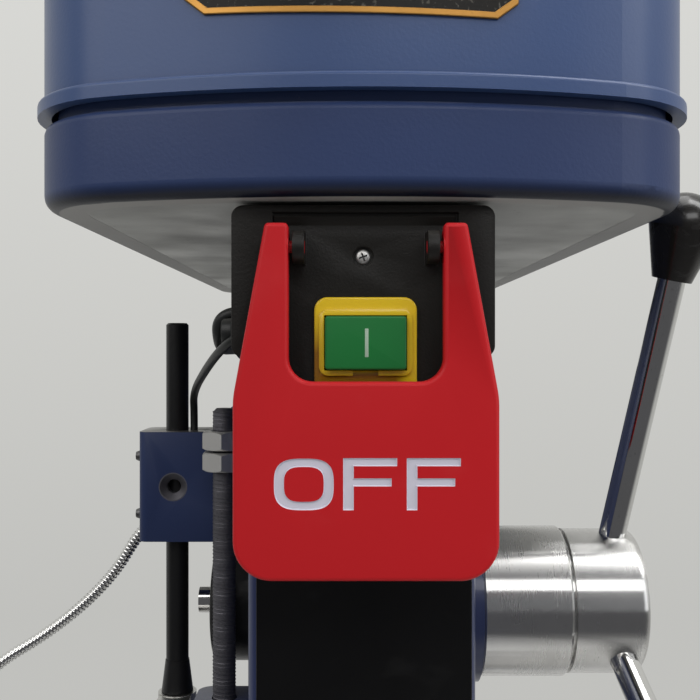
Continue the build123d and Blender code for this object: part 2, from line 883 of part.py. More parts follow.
# Table bracket: tilt disc, two cheeks and the socket for the table's post
socket_top = table_under - gap
socket_foot = socket_top - post_socket_h
lock_z = (socket_top + socket_foot) / 2 - table_rib
with BuildPart() as table_bracket:
    rod(facing_front(0, tilt_y - gap, tilt_z), tilt_disc_d / 2, tilt_disc_t)
    rod(facing_up(0, spindle_y, socket_foot), post_r, post_socket_h)
    for side in (-1, 1):
        block(
            (side * (cheek_x + cheek_t / 2) - cheek_t / 2, spindle_y, tilt_z - cheek_h / 2),
            (side * (cheek_x + cheek_t / 2) + cheek_t / 2, tilt_y - gap, tilt_z + cheek_h / 2),
        )
    rod(facing_front(0, spindle_y, lock_z), lock_boss_d / 2, post_r + lock_boss_l)
    rod(facing_up(0, spindle_y, tilt_z - cheek_h), table_post_d / 2 + fit, socket_top - tilt_z + cheek_h,
        Mode.SUBTRACT)
    rod(facing_front(0, spindle_y, lock_z), lever_screw_d / 2 + fit, post_r + lock_boss_l, Mode.SUBTRACT)
    rod(facing_front(0, tilt_y - gap, tilt_z), tilt_bolt_d / 2 + fit, tilt_disc_t, Mode.SUBTRACT)
table_bracket.part.label = "table_bracket"

lock_front = spindle_y - post_r - lock_boss_l - gap
with BuildPart() as table_lock_lever:
    lever(facing_front(0, lock_front, lock_z), table_lock_angle,
          post_r + lock_boss_l - table_post_d / 2 - fit)
table_lock_lever.part.label = "table_lock_lever"

# Table: ribbed square plate with a gutter, four slots and a hollow post
post_foot = table_under - table_post_l
with BuildPart() as table:
    with BuildSketch(Plane.XY.offset(table_under)):
        with Locations((0, spindle_y)):
            RectangleRounded(table_w, table_w, table_corner)
    extrude(amount=table_t + table_rib)
    chamfer(table.edges().group_by(Axis.Z)[-1], table_edge)
    with BuildSketch(Plane.XY.offset(table_under)):
        with Locations((0, spindle_y)):
            inner = table_w - 2 * table_rim_w
            RectangleRounded(inner, inner, table_corner - table_rim_w / 2)
            Rectangle(table_rib_w, inner, mode=Mode.SUBTRACT)
            Rectangle(inner, table_rib_w, mode=Mode.SUBTRACT)
            Circle(table_hub_d / 2, mode=Mode.SUBTRACT)
    extrude(amount=table_rib, mode=Mode.SUBTRACT)
    with BuildSketch(Plane.XY.offset(table_top)):
        with Locations((0, spindle_y)):
            outer = table_w - 2 * gutter_in
            RectangleRounded(outer, outer, table_corner - gutter_in)
            inside = outer - 2 * gutter_w
            RectangleRounded(inside, inside, table_corner - gutter_in - gutter_w, mode=Mode.SUBTRACT)
    extrude(amount=-gutter_d, mode=Mode.SUBTRACT)
    with BuildSketch(Plane.XY.offset(table_top)):
        with Locations((0, spindle_y)):
            with GridLocations(2 * table_slot_x, 2 * table_slot_y, 2, 2):
                SlotOverall(table_slot_l, table_slot_w)
    extrude(amount=-(table_t + table_rib), mode=Mode.SUBTRACT)
    rod(facing_up(0, spindle_y, post_foot), table_post_d / 2, table_post_l)
    rod(facing_up(0, spindle_y, post_foot), table_hole_d / 2, table_top - post_foot, Mode.SUBTRACT)
table.part.label = "table"

# Head casting: square barrel with a round nose, hollow web, column clamp, deck, bosses and stop lug
slide_boss_y = -slide_boss_l / 2
lug_y = spindle_y - stop_lug_w / 2
feed_right = head_half + feed_boss
feed_left_x = -feed_tooth_l / 2 - gap
with BuildPart() as head_casting:
    with BuildSketch(Plane.XY.offset(square_z)):
        with Locations((0, (head_front_y + head_back_y) / 2)):
            RectangleRounded(head_w, head_back_y - head_front_y, head_corner)
    extrude(amount=square_h)
    fillet(head_casting.edges().group_by(Axis.Z)[0], square_edge)
    rod(facing_up(0, spindle_y, head_bottom), nose_d / 2, head_h)
    fillet(head_casting.edges().group_by(Axis.Z)[0], nose_edge)
    block((-web_w / 2, spindle_y, web_z), (web_w / 2, 0, deck_z))
    block((-deck_w / 2, spindle_y, deck_z), (deck_w / 2, deck_rear, head_top))
    block((-web_w / 2 + web_wall, head_back_y, web_z), (web_w / 2 - web_wall, 0, deck_z), Mode.SUBTRACT)
    block((-web_w / 2 + web_wall, spindle_y + quill_d / 2 + web_wall, feed_z + feed_boss_d / 2 + web_wall),
          (web_w / 2 - web_wall, 0, deck_z), Mode.SUBTRACT)
    rod(facing_up(0, 0, clamp_z), clamp_r, deck_z - clamp_z)
    fillet(head_casting.edges().filter_by_position(Axis.Z, clamp_z, clamp_z), clamp_edge)
    for side in (-1, 1):
        rod(facing_back(side * slide_x, slide_boss_y, slide_z), slide_boss_d / 2, slide_boss_l)
        for end_y in (slide_boss_y, -slide_boss_y):
            round_edges = head_casting.edges().filter_by(GeomType.CIRCLE)
            boss_ends = round_edges.filter_by_position(Axis.Y, end_y, end_y).sort_by(Axis.X)
            chamfer(boss_ends[0 if side < 0 else -1], slide_boss_edge)
        low_x, high_x = sorted((side * slide_x, side * column_r))
        block((low_x, slide_boss_y + slide_boss_d / 4, slide_z - slide_boss_d / 3),
              (high_x, -slide_boss_y - slide_boss_d / 4, slide_z + slide_boss_d / 3))
    rod(facing_right(0, feed_y, feed_z), feed_boss_d / 2, feed_right)
    block((-stop_x - stop_lug_end, lug_y, stop_lug_z), (0, lug_y + stop_lug_w, stop_lug_z + stop_lug_h))
    fillet(head_casting.edges().filter_by(Axis.Z).group_by(Axis.X)[0], stop_lug_corner)
    rod(facing_back(motor_lead_x, gland_y, motor_lead_low), gland_d / 2, gland_l)
    block((motor_lead_x, gland_y, motor_lead_low - gland_web / 2),
          (-web_w / 2, gland_y + gland_l, motor_lead_low + gland_web / 2))
    rod(facing_up(0, 0, clamp_z), column_r, column_top - clamp_z, Mode.SUBTRACT)
    rod(facing_up(0, spindle_y, head_bottom), quill_d / 2 + fit, drive_seat_z - head_bottom, Mode.SUBTRACT)
    rod(facing_up(0, spindle_y, drive_seat_z), drive_bearing_d / 2, head_top - drive_seat_z, Mode.SUBTRACT)
    rod(facing_right(feed_left_x, feed_y, feed_z), feed_r + pinion_tip + fit, feed_right - feed_left_x,
        Mode.SUBTRACT)
    rod(facing_right(-head_half, feed_y, feed_z), feed_left_d / 2 + fit, head_half, Mode.SUBTRACT)
    for side in (-1, 1):
        rod(facing_back(side * slide_x, slide_boss_y, slide_z), slide_d / 2 + fit, slide_boss_l,
            Mode.SUBTRACT)
    rod(facing_up(slide_x, 0, slide_z - slide_boss_d), slide_lock_d / 2 + fit, slide_boss_d, Mode.SUBTRACT)
    rod(facing_up(-stop_x, spindle_y, stop_lug_z), stop_rod_d / 2 + gap, stop_lug_h, Mode.SUBTRACT)
head_casting.part.label = "head_casting"

with BuildPart() as front_panel:
    with BuildSketch(facing_front(0, head_front_y, (panel_foot + panel_top) / 2)):
        RectangleRounded(panel_w, panel_h, panel_corner)
    extrude(amount=panel_t)
front_panel.part.label = "front_panel"

# Quill: bored sleeve with rack teeth cut in its back
lower_seat = 2 * bearing_w + 2 * gap
upper_seat = bearing_w + gap
quill_root_y = spindle_y + quill_d / 2 - rack_inset - rack_root
with BuildPart() as quill:
    rod(facing_up(0, spindle_y, quill_z), quill_d / 2, quill_top - quill_z)
    teeth_line = rack_points(quill_rack_low, quill_rack_high, feed_z, quill_root_y)
    with BuildSketch(Plane.YZ.offset(-quill_d / 2)):
        with BuildLine():
            Polyline(
                (quill_root_y, quill_rack_low),
                *teeth_line,
                (quill_root_y, quill_rack_high),
                (spindle_y + quill_d, quill_rack_high),
                (spindle_y + quill_d, quill_rack_low),
                close=True,
            )
        make_face()
    extrude(amount=quill_d, mode=Mode.SUBTRACT)
    rod(facing_up(0, spindle_y, quill_z), quill_bore / 2, quill_top - quill_z, Mode.SUBTRACT)
    rod(facing_up(0, spindle_y, quill_z), bearing_d / 2, lower_seat, Mode.SUBTRACT)
    rod(facing_up(0, spindle_y, quill_top - upper_seat), bearing_d / 2, upper_seat, Mode.SUBTRACT)
quill.part.label = "quill"

bearing_feet = (quill_z + gap, quill_z + bearing_w + 2 * gap, quill_top - upper_seat)
with BuildPart() as quill_bearings:
    for foot in bearing_feet:
        rod(facing_up(0, spindle_y, foot), bearing_d / 2, bearing_w)
        rod(facing_up(0, spindle_y, foot), bearing_bore / 2 + fit, bearing_w, Mode.SUBTRACT)
quill_bearings.part.label = "quill_bearings"

# Spindle: chuck taper, collar, journal and a splined tail that slides in the drive sleeve
spindle_top = pulley_top + pulley_rim
with BuildPart() as spindle:
    turned(0, spindle_y, [
        (0, chuck_top - taper_l),
        (taper_end_d / 2, chuck_top - taper_l),
        (taper_top_d / 2, chuck_top),
        (spindle_collar_d / 2, chuck_top),
        (spindle_collar_d / 2, quill_z - gap),
        (bearing_bore / 2, quill_z - gap),
        (bearing_bore / 2, quill_top),
        (spline_d / 2, quill_top),
        (spline_d / 2, spindle_top),
        (0, spindle_top),
    ])
    with BuildSketch(facing_up(0, spindle_y, quill_top)):
        with PolarLocations(spline_d / 2, splines):
            Rectangle(spline_d - spline_root_d, spline_w)
    extrude(amount=spindle_top - quill_top, mode=Mode.SUBTRACT)
spindle.part.label = "spindle"

# Chuck: body with three slanted jaw holes, toothed sleeve, three jaws
jaw_tip_z = chuck_nose_z - jaw_reach


def jaw_plane(turn):
    outward = Vector(cos(radians(turn)), sin(radians(turn)), 0)
    rise = outward * sin(radians(jaw_angle)) + Vector(0, 0, cos(radians(jaw_angle)))
    tip = Vector(0, spindle_y, jaw_tip_z) + outward * jaw_open_r
    return Plane(origin=tip, z_dir=rise)


jaw_turns = [90 + 360 * number / jaws for number in range(jaws)]
with BuildPart() as chuck_body:
    turned(0, spindle_y, [
        (0, chuck_nose_z),
        (chuck_nose_d / 2, chuck_nose_z),
        (chuck_core_d / 2, sleeve_z),
        (chuck_core_d / 2, sleeve_top + gap),
        (chuck_cap_d / 2, sleeve_top + gap),
        (chuck_cap_d / 2, chuck_top - chuck_cap_h / 4),
        (chuck_core_d / 2, chuck_top),
        (0, chuck_top),
    ])
    rod(facing_up(0, spindle_y, chuck_nose_z), chuck_bore / 2, chuck_bore_l, Mode.SUBTRACT)
    with Locations((0, spindle_y, chuck_top - taper_l)):
        Cone(taper_end_d / 2, taper_top_d / 2, taper_l, align=(Align.CENTER, Align.CENTER, Align.MIN),
             mode=Mode.SUBTRACT)
    for turn in jaw_turns:
        rod(jaw_plane(turn), jaw_d / 2 + fit, jaw_l + jaw_reach, Mode.SUBTRACT)
        outward = (cos(radians(turn + 60)), sin(radians(turn + 60)), 0)
        key_plane = Plane(origin=(0, spindle_y, sleeve_top + key_hole_d), z_dir=outward)
        rod(Plane(origin=key_plane.origin + key_plane.z_dir * (chuck_cap_d / 2 - key_hole_l), z_dir=outward),
            key_hole_d / 2, key_hole_l, Mode.SUBTRACT)
chuck_body.part.label = "chuck_body"

with BuildPart() as chuck_sleeve:
    rod(facing_up(0, spindle_y, sleeve_z), sleeve_d / 2, sleeve_h)
    chamfer(chuck_sleeve.edges().group_by(Axis.Z)[0], (sleeve_d - chuck_core_d) / 4)
    rod(facing_up(0, spindle_y, sleeve_z), chuck_core_d / 2 + fit, sleeve_h, Mode.SUBTRACT)
    with BuildSketch(facing_up(0, spindle_y, sleeve_top)):
        with PolarLocations(sleeve_d / 2, sleeve_teeth):
            Rectangle(sleeve_tooth_d, pi * sleeve_d / sleeve_teeth / 2)
    extrude(amount=-sleeve_tooth_h, mode=Mode.SUBTRACT)
chuck_sleeve.part.label = "chuck_sleeve"

chuck_jaws = []
for number, turn in enumerate(jaw_turns, start=1):
    with BuildPart() as chuck_jaw:
        rod(jaw_plane(turn), jaw_d / 2, jaw_l)
        chamfer(chuck_jaw.edges().group_by(Axis.Z)[0], jaw_d / 8)
    chuck_jaw.part.label = f"chuck_jaw_{number}"
    chuck_jaws.append(chuck_jaw)

# Depth stop: clamp collar on the quill, threaded rod, two nuts
collar_top = head_bottom - collar_gap
collar_foot = collar_top - collar_h
arm_foot = collar_foot + (collar_h - stop_arm_h) / 2
rod_foot = arm_foot - stop_nut_h
with BuildPart() as quill_collar:
    rod(facing_up(0, spindle_y, collar_foot), quill_d / 2 + collar_wall, collar_h)
    block((-stop_x, spindle_y - stop_arm_w / 2, arm_foot),
          (0, spindle_y + stop_arm_w / 2, arm_foot + stop_arm_h))
    rod(facing_up(-stop_x, spindle_y, arm_foot), stop_eye_d / 2, stop_arm_h)
    rod(facing_up(0, spindle_y, collar_foot), quill_d / 2, collar_h, Mode.SUBTRACT)
    rod(facing_up(-stop_x, spindle_y, arm_foot), stop_rod_d / 2, stop_arm_h, Mode.SUBTRACT)
quill_collar.part.label = "quill_collar"

with BuildPart() as depth_rod:
    rod(facing_up(-stop_x, spindle_y, rod_foot), stop_rod_d / 2, stop_rod_top - rod_foot)
    chamfer(depth_rod.edges().group_by(Axis.Z)[-1], stop_rod_d / 10)
    hexagon(facing_up(-stop_x, spindle_y, rod_foot), stop_nut_af, stop_nut_h)
depth_rod.part.label = "depth_rod"

with BuildPart() as depth_nuts:
    for level in range(2):
        foot = stop_nut_z + level * (stop_nut_h + stop_nut_gap)
        hexagon(facing_up(-stop_x, spindle_y, foot), stop_nut_af, stop_nut_h)
        rod(facing_up(-stop_x, spindle_y, foot), stop_rod_d / 2 + fit, stop_nut_h, Mode.SUBTRACT)
depth_nuts.part.label = "depth_nuts"

# Feed shaft: pinion in the middle, wide journal to the right, stub through the spring cap to the left
with BuildPart() as feed_shaft:
    with BuildSketch(facing_right(-feed_tooth_l / 2, feed_y, feed_z)):
        with BuildLine():
            Polyline(*pinion_points(feed_teeth), close=True)
        make_face()
    extrude(amount=feed_tooth_l)
    rod(facing_right(feed_tooth_l / 2, feed_y, feed_z), feed_r + pinion_tip, feed_right - feed_tooth_l / 2)
    rod(facing_right(feed_right, feed_y, feed_z), feed_core_d / 2, hub_end - feed_right - hub_edge)
    rod(facing_right(-head_half, feed_y, feed_z), feed_left_d / 2, head_half)
    rod(facing_right(stub_x, feed_y, feed_z), feed_stub_d / 2, -stub_x)
feed_shaft.part.label = "feed_shaft"


def spoke_plane(number, reach):
    """Plane square to a spoke, a reach away from the feed shaft's axis."""
    turn = radians(spoke_turn + 360 * number / spokes)
    lean = radians(spoke_lean)
    heading = Vector(sin(lean), cos(turn) * cos(lean), sin(turn) * cos(lean))
    middle = Vector(hub_outer_x + hub_outer_l / 2, feed_y, feed_z)
    return Plane(origin=middle + heading * reach, z_dir=heading)


with BuildPart() as feed_hub:
    rod(facing_right(hub_x, feed_y, feed_z), hub_d / 2, hub_l - hub_groove)
    chamfer(feed_hub.edges().group_by(Axis.X)[0], hub_edge / 2)
    chamfer(feed_hub.edges().group_by(Axis.X)[-1], hub_edge / 2)
    rod(facing_right(hub_outer_x, feed_y, feed_z), hub_outer_d / 2, hub_outer_l)
    fillet(feed_hub.edges().group_by(Axis.X)[-1], hub_edge * 2)
    rod(facing_right(hub_x, feed_y, feed_z), hub_outer_d / 2 - hub_edge, hub_l)
    rod(facing_right(hub_x, feed_y, feed_z), feed_core_d / 2, hub_l + hub_outer_l - hub_edge, Mode.SUBTRACT)
    for number in range(spokes):
        rod(spoke_plane(number, spoke_seat), spoke_d / 2, hub_d, Mode.SUBTRACT)
feed_hub.part.label = "feed_hub"

with BuildPart() as feed_spokes:
    for number in range(spokes):
        rod(spoke_plane(number, spoke_seat), spoke_d / 2, spoke_l - spoke_seat + knob_bore_l)
feed_spokes.part.label = "feed_spokes"

with BuildPart() as feed_knobs:
    for number in range(spokes):
        plane = spoke_plane(number, spoke_l)
        upright = Plane(origin=plane.origin, x_dir=plane.x_dir, z_dir=-plane.y_dir)
        with BuildSketch(upright) as profile:
            with BuildLine():
                Polyline((0, knob_l), (0, knob_bore_l), (spoke_d / 2, knob_bore_l), (spoke_d / 2, 0),
                         (knob_neck_d / 2, 0), (knob_d / 2, knob_l - knob_d / 2))
                RadiusArc((knob_d / 2, knob_l - knob_d / 2), (0, knob_l), -knob_d / 2)
            make_face()
        revolve(axis=Axis(plane.origin, plane.z_dir))
feed_knobs.part.label = "feed_knobs"

# Spring cap and the flat spiral spring that lifts the quill
with BuildPart() as spring_cap:
    rod(facing_right(spring_cap_x, feed_y, feed_z), spring_cap_d / 2, spring_cap_l)
    fillet(spring_cap.edges().group_by(Axis.X)[0], spring_cap_edge)
    rod(facing_right(spring_cap_x + spring_cap_wall, feed_y, feed_z), spring_cap_d / 2 - spring_cap_wall,
        spring_cap_l - spring_cap_wall, Mode.SUBTRACT)
    rod(facing_right(spring_cap_x, feed_y, feed_z), feed_stub_d / 2 + fit, spring_cap_wall, Mode.SUBTRACT)
spring_cap.part.label = "spring_cap"


def spring_arcs(side):
    """Half circles of the spiral strip's inner (-1) or outer (+1) face: centre, radius, start angle."""
    step = spring_pitch / 2
    inner_r = feed_stub_d / 2 + gap + spring_t / 2
    return [(step * (half % 2), inner_r + half * step + side * spring_t / 2, 180.0 * (half % 2))
            for half in range(2 * spring_turns)]


with BuildPart() as return_spring:
    with BuildSketch(facing_right(-head_half - gap - spring_w, feed_y, feed_z)):
        with BuildLine():
            for side in (-1, 1):
                for centre, radius, start in spring_arcs(side):
                    CenterArc((centre, 0), radius, start, 180)
            inner_face, outer_face = spring_arcs(-1), spring_arcs(1)
            Line((inner_face[0][1], 0), (outer_face[0][1], 0))
            Line((inner_face[-1][0] + inner_face[-1][1], 0), (outer_face[-1][0] + outer_face[-1][1], 0))
        make_face()
    extrude(amount=spring_w)
return_spring.part.label = "return_spring"

# Switch box: wide head over a narrower foot, recessed front, two hinge ears, window for the module
box_mid_z = (box_top + box_z) / 2
with BuildPart() as switch_box:
    with BuildSketch(facing_front(0, panel_y, 0)):
        with Locations((0, box_mid_z)):
            RectangleRounded(box_w, box_h, box_corner)
        with Locations((0, (box_foot + box_mid_z) / 2)):
            RectangleRounded(box_foot_w, box_mid_z - box_foot, box_corner)
    extrude(amount=box_d)
    with BuildSketch(facing_front(0, panel_y, 0)):
        with Locations((0, box_mid_z)):
            Rectangle(box_w - 2 * box_wall, box_h - 2 * box_wall)
        with Locations((0, (box_foot + box_mid_z + box_wall) / 2)):
            Rectangle(box_foot_w - 2 * box_wall, box_mid_z - box_foot - box_wall)
    extrude(amount=box_d - box_wall - recess_d, mode=Mode.SUBTRACT)
    block((switch_x - recess_w / 2, box_front_y, box_foot),
          (switch_x + recess_w / 2, recess_y, box_top - recess_drop), Mode.SUBTRACT)
    for side in (-1, 1):
        low_x = switch_x + side * (ear_x + ear_t / 2) - ear_t / 2
        rod(facing_right(low_x, hinge_y, hinge_z), ear_d / 2, ear_t)
        block((low_x, hinge_y, hinge_z - ear_d / 2), (low_x + ear_t, recess_y, hinge_z + ear_d / 2))
        rod(facing_right(low_x, hinge_y, hinge_z), hinge_pin_d / 2 + fit, ear_t, Mode.SUBTRACT)
    block(
        (switch_x - bezel_w / 2 + module_wall, recess_y, bezel_z + module_wall),
        (switch_x + bezel_w / 2 - module_wall, recess_y + box_wall, bezel_top - module_wall),
        Mode.SUBTRACT,
    )
    rod(facing_back(0, recess_y, box_top - screw_drop), screw_d / 2, box_wall / 2, Mode.SUBTRACT)
switch_box.part.label = "switch_box"

# Switch module: bezel with a broken raised rim round each button, and a hollow body behind
button_zs = (start_z, stop_z)
bezel_mid_z = bezel_z + bezel_h / 2
bezel_y = recess_y - bezel_t
well_w = button_w + 2 * gap
well_h = button_h + 2 * gap
with BuildPart() as switch_module:
    with BuildSketch(facing_front(switch_x, recess_y, bezel_mid_z)):
        RectangleRounded(bezel_w, bezel_h, bezel_corner)
    extrude(amount=bezel_t)
    fillet(switch_module.edges().group_by(Axis.Y)[0], bezel_t / 4)
    with BuildSketch(facing_front(switch_x, bezel_y, 0)):
        for z in button_zs:
            with Locations((0, z)):
                RectangleRounded(well_w + 2 * rim_w, well_h + 2 * rim_w, button_corner + rim_w)
                Rectangle(well_w, well_h, mode=Mode.SUBTRACT)
        with Locations((0, start_z - well_h / 2 - rim_w)):
            Rectangle(rim_break, 4 * rim_w, mode=Mode.SUBTRACT)
    extrude(amount=rim_t)
    block(
        (switch_x - bezel_w / 2 + module_wall + gap, recess_y, bezel_z + module_wall + gap),
        (switch_x + bezel_w / 2 - module_wall - gap, recess_y + module_d, bezel_top - module_wall - gap),
    )
    with BuildSketch(facing_back(switch_x, bezel_y - rim_t, 0)):
        for z in button_zs:
            with Locations((0, z)):
                Rectangle(well_w, well_h)
    extrude(amount=rim_t + bezel_t + module_d - module_wall, mode=Mode.SUBTRACT)
switch_module.part.label = "switch_module"


def push_button(z, out):
    front = bezel_y - rim_t - out
    with BuildSketch(facing_front(switch_x, front + button_l, z)) as profile:
        RectangleRounded(button_w, button_h, button_corner)
    extrude(profile.sketch, amount=button_l)


with BuildPart() as start_button:
    push_button(start_z, start_out)
    fillet(start_button.edges().group_by(Axis.Y)[0], button_corner)
start_button.part.label = "start_button"

with BuildPart() as stop_button:
    push_button(stop_z, stop_out)
    fillet(stop_button.edges().group_by(Axis.Y)[0], button_corner)
stop_button.part.label = "stop_button"

# Stop paddle: flared plate with a U slot, hung on two pins in the ears of the box
with BuildPart() as stop_paddle:
    with BuildSketch(facing_front(switch_x, paddle_y + paddle_t, 0)) as plate:
        with BuildLine():
            half = [
                (paddle_slot_w / 2, paddle_top - paddle_slot_l),
                (paddle_slot_w / 2, paddle_top),
                (paddle_arm_w / 2, paddle_top),
                (paddle_w / 2, paddle_top - paddle_flare_l),
                (paddle_w / 2, paddle_foot),
            ]
            other = [(-x, z) for x, z in reversed(half)]
            corner = [paddle_slot_corner, paddle_edge, paddle_edge, paddle_shoulder_r, paddle_foot_corner]
            FilletPolyline(*half, *other, radius=corner + corner[::-1], close=True)
        make_face()
    extrude(amount=paddle_t)
    fillet(stop_paddle.edges().group_by(Axis.Y)[0], paddle_edge)
    for side in (-1, 1):
        low_x, high_x = sorted(switch_x + side * x for x in (paddle_slot_w / 2, recess_w / 2 - 2 * gap))
        rod(facing_right(low_x, hinge_y, hinge_z), knuckle_d / 2, high_x - low_x)
        block((low_x, paddle_y + paddle_t / 2, hinge_z - knuckle_d / 2),
              (high_x, hinge_y, hinge_z + knuckle_d / 2))
        low_x, high_x = sorted(switch_x + side * x for x in (ear_x, paddle_slot_w / 2))
        rod(facing_right(low_x, hinge_y, hinge_z), hinge_pin_d / 2, high_x - low_x)
stop_paddle.part.label = "stop_paddle"

# Belt guard: pan with a rolled edge and inner rim, floor plate, hinged cover
with BuildPart() as belt_pan:
    guard_slab(0, pan_z, pan_top)
    fillet(belt_pan.edges().group_by(Axis.Z)[0], pan_edge)
    fillet(belt_pan.edges().group_by(Axis.Z)[-1], pan_edge / 2)
    guard_slab(-pan_rim_in, pan_top - pan_edge, pan_top + pan_rim_h)
    guard_slab(-pan_rim_in - pan_t, pan_z + pan_t, pan_top + pan_rim_h, Mode.SUBTRACT)
    guard_slab(-pan_flange, pan_z, pan_z + pan_t, Mode.SUBTRACT)
    for hinge_mid in guard_hinge_ys:
        rod(facing_back(guard_hinge_x, hinge_mid - guard_leaf_l / 2 + gap, guard_hinge_z), guard_hinge_d / 2,
            guard_leaf_l - 2 * gap)
        block(
            (guard_hinge_x, hinge_mid - guard_leaf_l / 2 + gap, guard_hinge_z - guard_hinge_d),
            (-guard_half + pan_t, hinge_mid + guard_leaf_l / 2 - gap, guard_hinge_z - guard_hinge_d / 4),
        )
        rod(facing_back(guard_hinge_x, hinge_mid - guard_leaf_l / 2, guard_hinge_z), guard_hinge_pin_d / 2,
            guard_leaf_l, Mode.SUBTRACT)
belt_pan.part.label = "belt_pan"

with BuildPart() as pan_floor:
    guard_slab(-pan_rim_in - pan_t - gap, head_top, head_top + floor_t)
    rod(facing_up(0, spindle_y, head_top), sleeve_hole_d / 2, floor_t, Mode.SUBTRACT)
    with BuildSketch(Plane.XY.offset(head_top)):
        with Locations((0, motor_y)):
            SlotOverall(motor_slot_l, motor_slot_w, rotation=90)
    extrude(amount=floor_t, mode=Mode.SUBTRACT)
pan_floor.part.label = "pan_floor"

with BuildPart() as cover_lip:
    guard_slab(lip_out, cover_z, cover_z + lip_h)
    fillet(cover_lip.edges().group_by(Axis.Z)[-1], lip_edge)

with BuildPart() as cover_inside:
    guard_slab(-cover_t, cover_z, cover_top - cover_t)
    fillet(cover_inside.edges().group_by(Axis.Z)[-1], cover_edge - cover_t)

with BuildPart() as belt_cover:
    guard_slab(0, cover_z, cover_top)
    fillet(belt_cover.edges().group_by(Axis.Z)[-1], cover_edge)
    add(cover_lip.part)
    add(cover_inside.part, mode=Mode.SUBTRACT)
    for hinge_mid in guard_hinge_ys:
        for side in (-1, 1):
            leaf_y = hinge_mid + side * guard_leaf_l - guard_leaf_l / 2
            rod(facing_back(guard_hinge_x, leaf_y, guard_hinge_z), guard_hinge_d / 2, guard_leaf_l)
            block((guard_hinge_x, leaf_y, cover_z),
                  (-guard_half, leaf_y + guard_leaf_l, cover_z + lip_h / 2))
            rod(facing_back(guard_hinge_x, leaf_y, guard_hinge_z), guard_hinge_pin_d / 2 + fit, guard_leaf_l,
                Mode.SUBTRACT)
belt_cover.part.label = "belt_cover"

with BuildPart() as hinge_pins:
    for hinge_mid in guard_hinge_ys:
        rod(facing_back(guard_hinge_x, hinge_mid - 1.5 * guard_leaf_l, guard_hinge_z), guard_hinge_pin_d / 2,
            3 * guard_leaf_l)
hinge_pins.part.label = "hinge_pins"


def pulley_points(radii):
    """Half section of a stepped V pulley, outer side from bottom to top."""
    points = []
    for level, radius in enumerate(radii):
        foot = pulley_z + level * pulley_step
        middle = foot + pulley_step / 2
        points += [
            (radius, foot),
            (radius, foot + pulley_rim),
            (radius - groove_depth, middle - groove_foot / 2),
            (radius - groove_depth, middle + groove_foot / 2),
            (radius, foot + pulley_step - pulley_rim),
            (radius, foot + pulley_step),
        ]
    return points


# Spindle pulley on its drive sleeve, with keys that slide in the spindle's splines
with BuildPart() as spindle_pulley:
    turned(0, spindle_y, [
        (spline_d / 2 + fit, drive_seat_z),
        (drive_sleeve_d / 2 - fit, drive_seat_z),
        (drive_sleeve_d / 2 - fit, pulley_z),
        *pulley_points(pulley_rs),
        (spline_d / 2 + fit, pulley_top),
    ])
    with BuildSketch(facing_up(0, spindle_y, drive_seat_z)):
        with PolarLocations(spline_d / 2, splines):
            Rectangle(spline_d - spline_root_d - 4 * fit, spline_w - 4 * fit)
    extrude(amount=pulley_top - drive_seat_z)
spindle_pulley.part.label = "spindle_pulley"

with BuildPart() as drive_bearings:
    for foot in (drive_seat_z, head_top - drive_bearing_w):
        rod(facing_up(0, spindle_y, foot), drive_bearing_d / 2, drive_bearing_w)
        rod(facing_up(0, spindle_y, foot), drive_sleeve_d / 2, drive_bearing_w, Mode.SUBTRACT)
drive_bearings.part.label = "drive_bearings"

with BuildPart() as motor_pulley:
    turned(0, motor_y, [
        (motor_shaft_d / 2, pulley_z),
        *pulley_points(pulley_rs[::-1]),
        (motor_shaft_d / 2, pulley_top),
    ])
motor_pulley.part.label = "motor_pulley"

# Drive belt: trapezoid section round both pulleys on one level
spindle_pitch_r = pulley_rs[belt_level] - belt_sink - belt_h / 2
motor_pitch_r = pulley_rs[::-1][belt_level] - belt_sink - belt_h / 2
belt_span = motor_y - spindle_y
belt_turn = acos((spindle_pitch_r - motor_pitch_r) / belt_span)


def on_pulley(centre_y, radius, angle):
    return (radius * sin(angle), centre_y + radius * cos(angle))


with BuildPart() as drive_belt:
    with BuildLine(Plane.XY.offset(belt_z)) as belt_route:
        front_right = on_pulley(spindle_y, spindle_pitch_r, belt_turn)
        front_left = on_pulley(spindle_y, spindle_pitch_r, -belt_turn)
        rear_right = on_pulley(motor_y, motor_pitch_r, belt_turn)
        rear_left = on_pulley(motor_y, motor_pitch_r, -belt_turn)
        Line(front_right, rear_right)
        ThreePointArc(rear_right, (0, motor_y + motor_pitch_r), rear_left)
        Line(rear_left, front_left)
        ThreePointArc(front_left, (0, spindle_y - spindle_pitch_r), front_right)
    start = belt_route.edges().filter_by(GeomType.LINE).sort_by(Axis.X)[-1]
    outward = Vector(0, 0, 1).cross(start % 0.5) * (1 if (start % 0.5).Y < 0 else -1)
    with BuildSketch(Plane(origin=start @ 0.5, x_dir=outward, z_dir=start % 0.5)) as belt_section:
        with BuildLine():
            Polyline((belt_h / 2, -belt_top_w / 2), (belt_h / 2, belt_top_w / 2),
                     (-belt_h / 2, belt_foot_w / 2), (-belt_h / 2, -belt_foot_w / 2), close=True)
        make_face()
    sweep(belt_section.sketch, path=belt_route.wire())
drive_belt.part.label = "drive_belt"

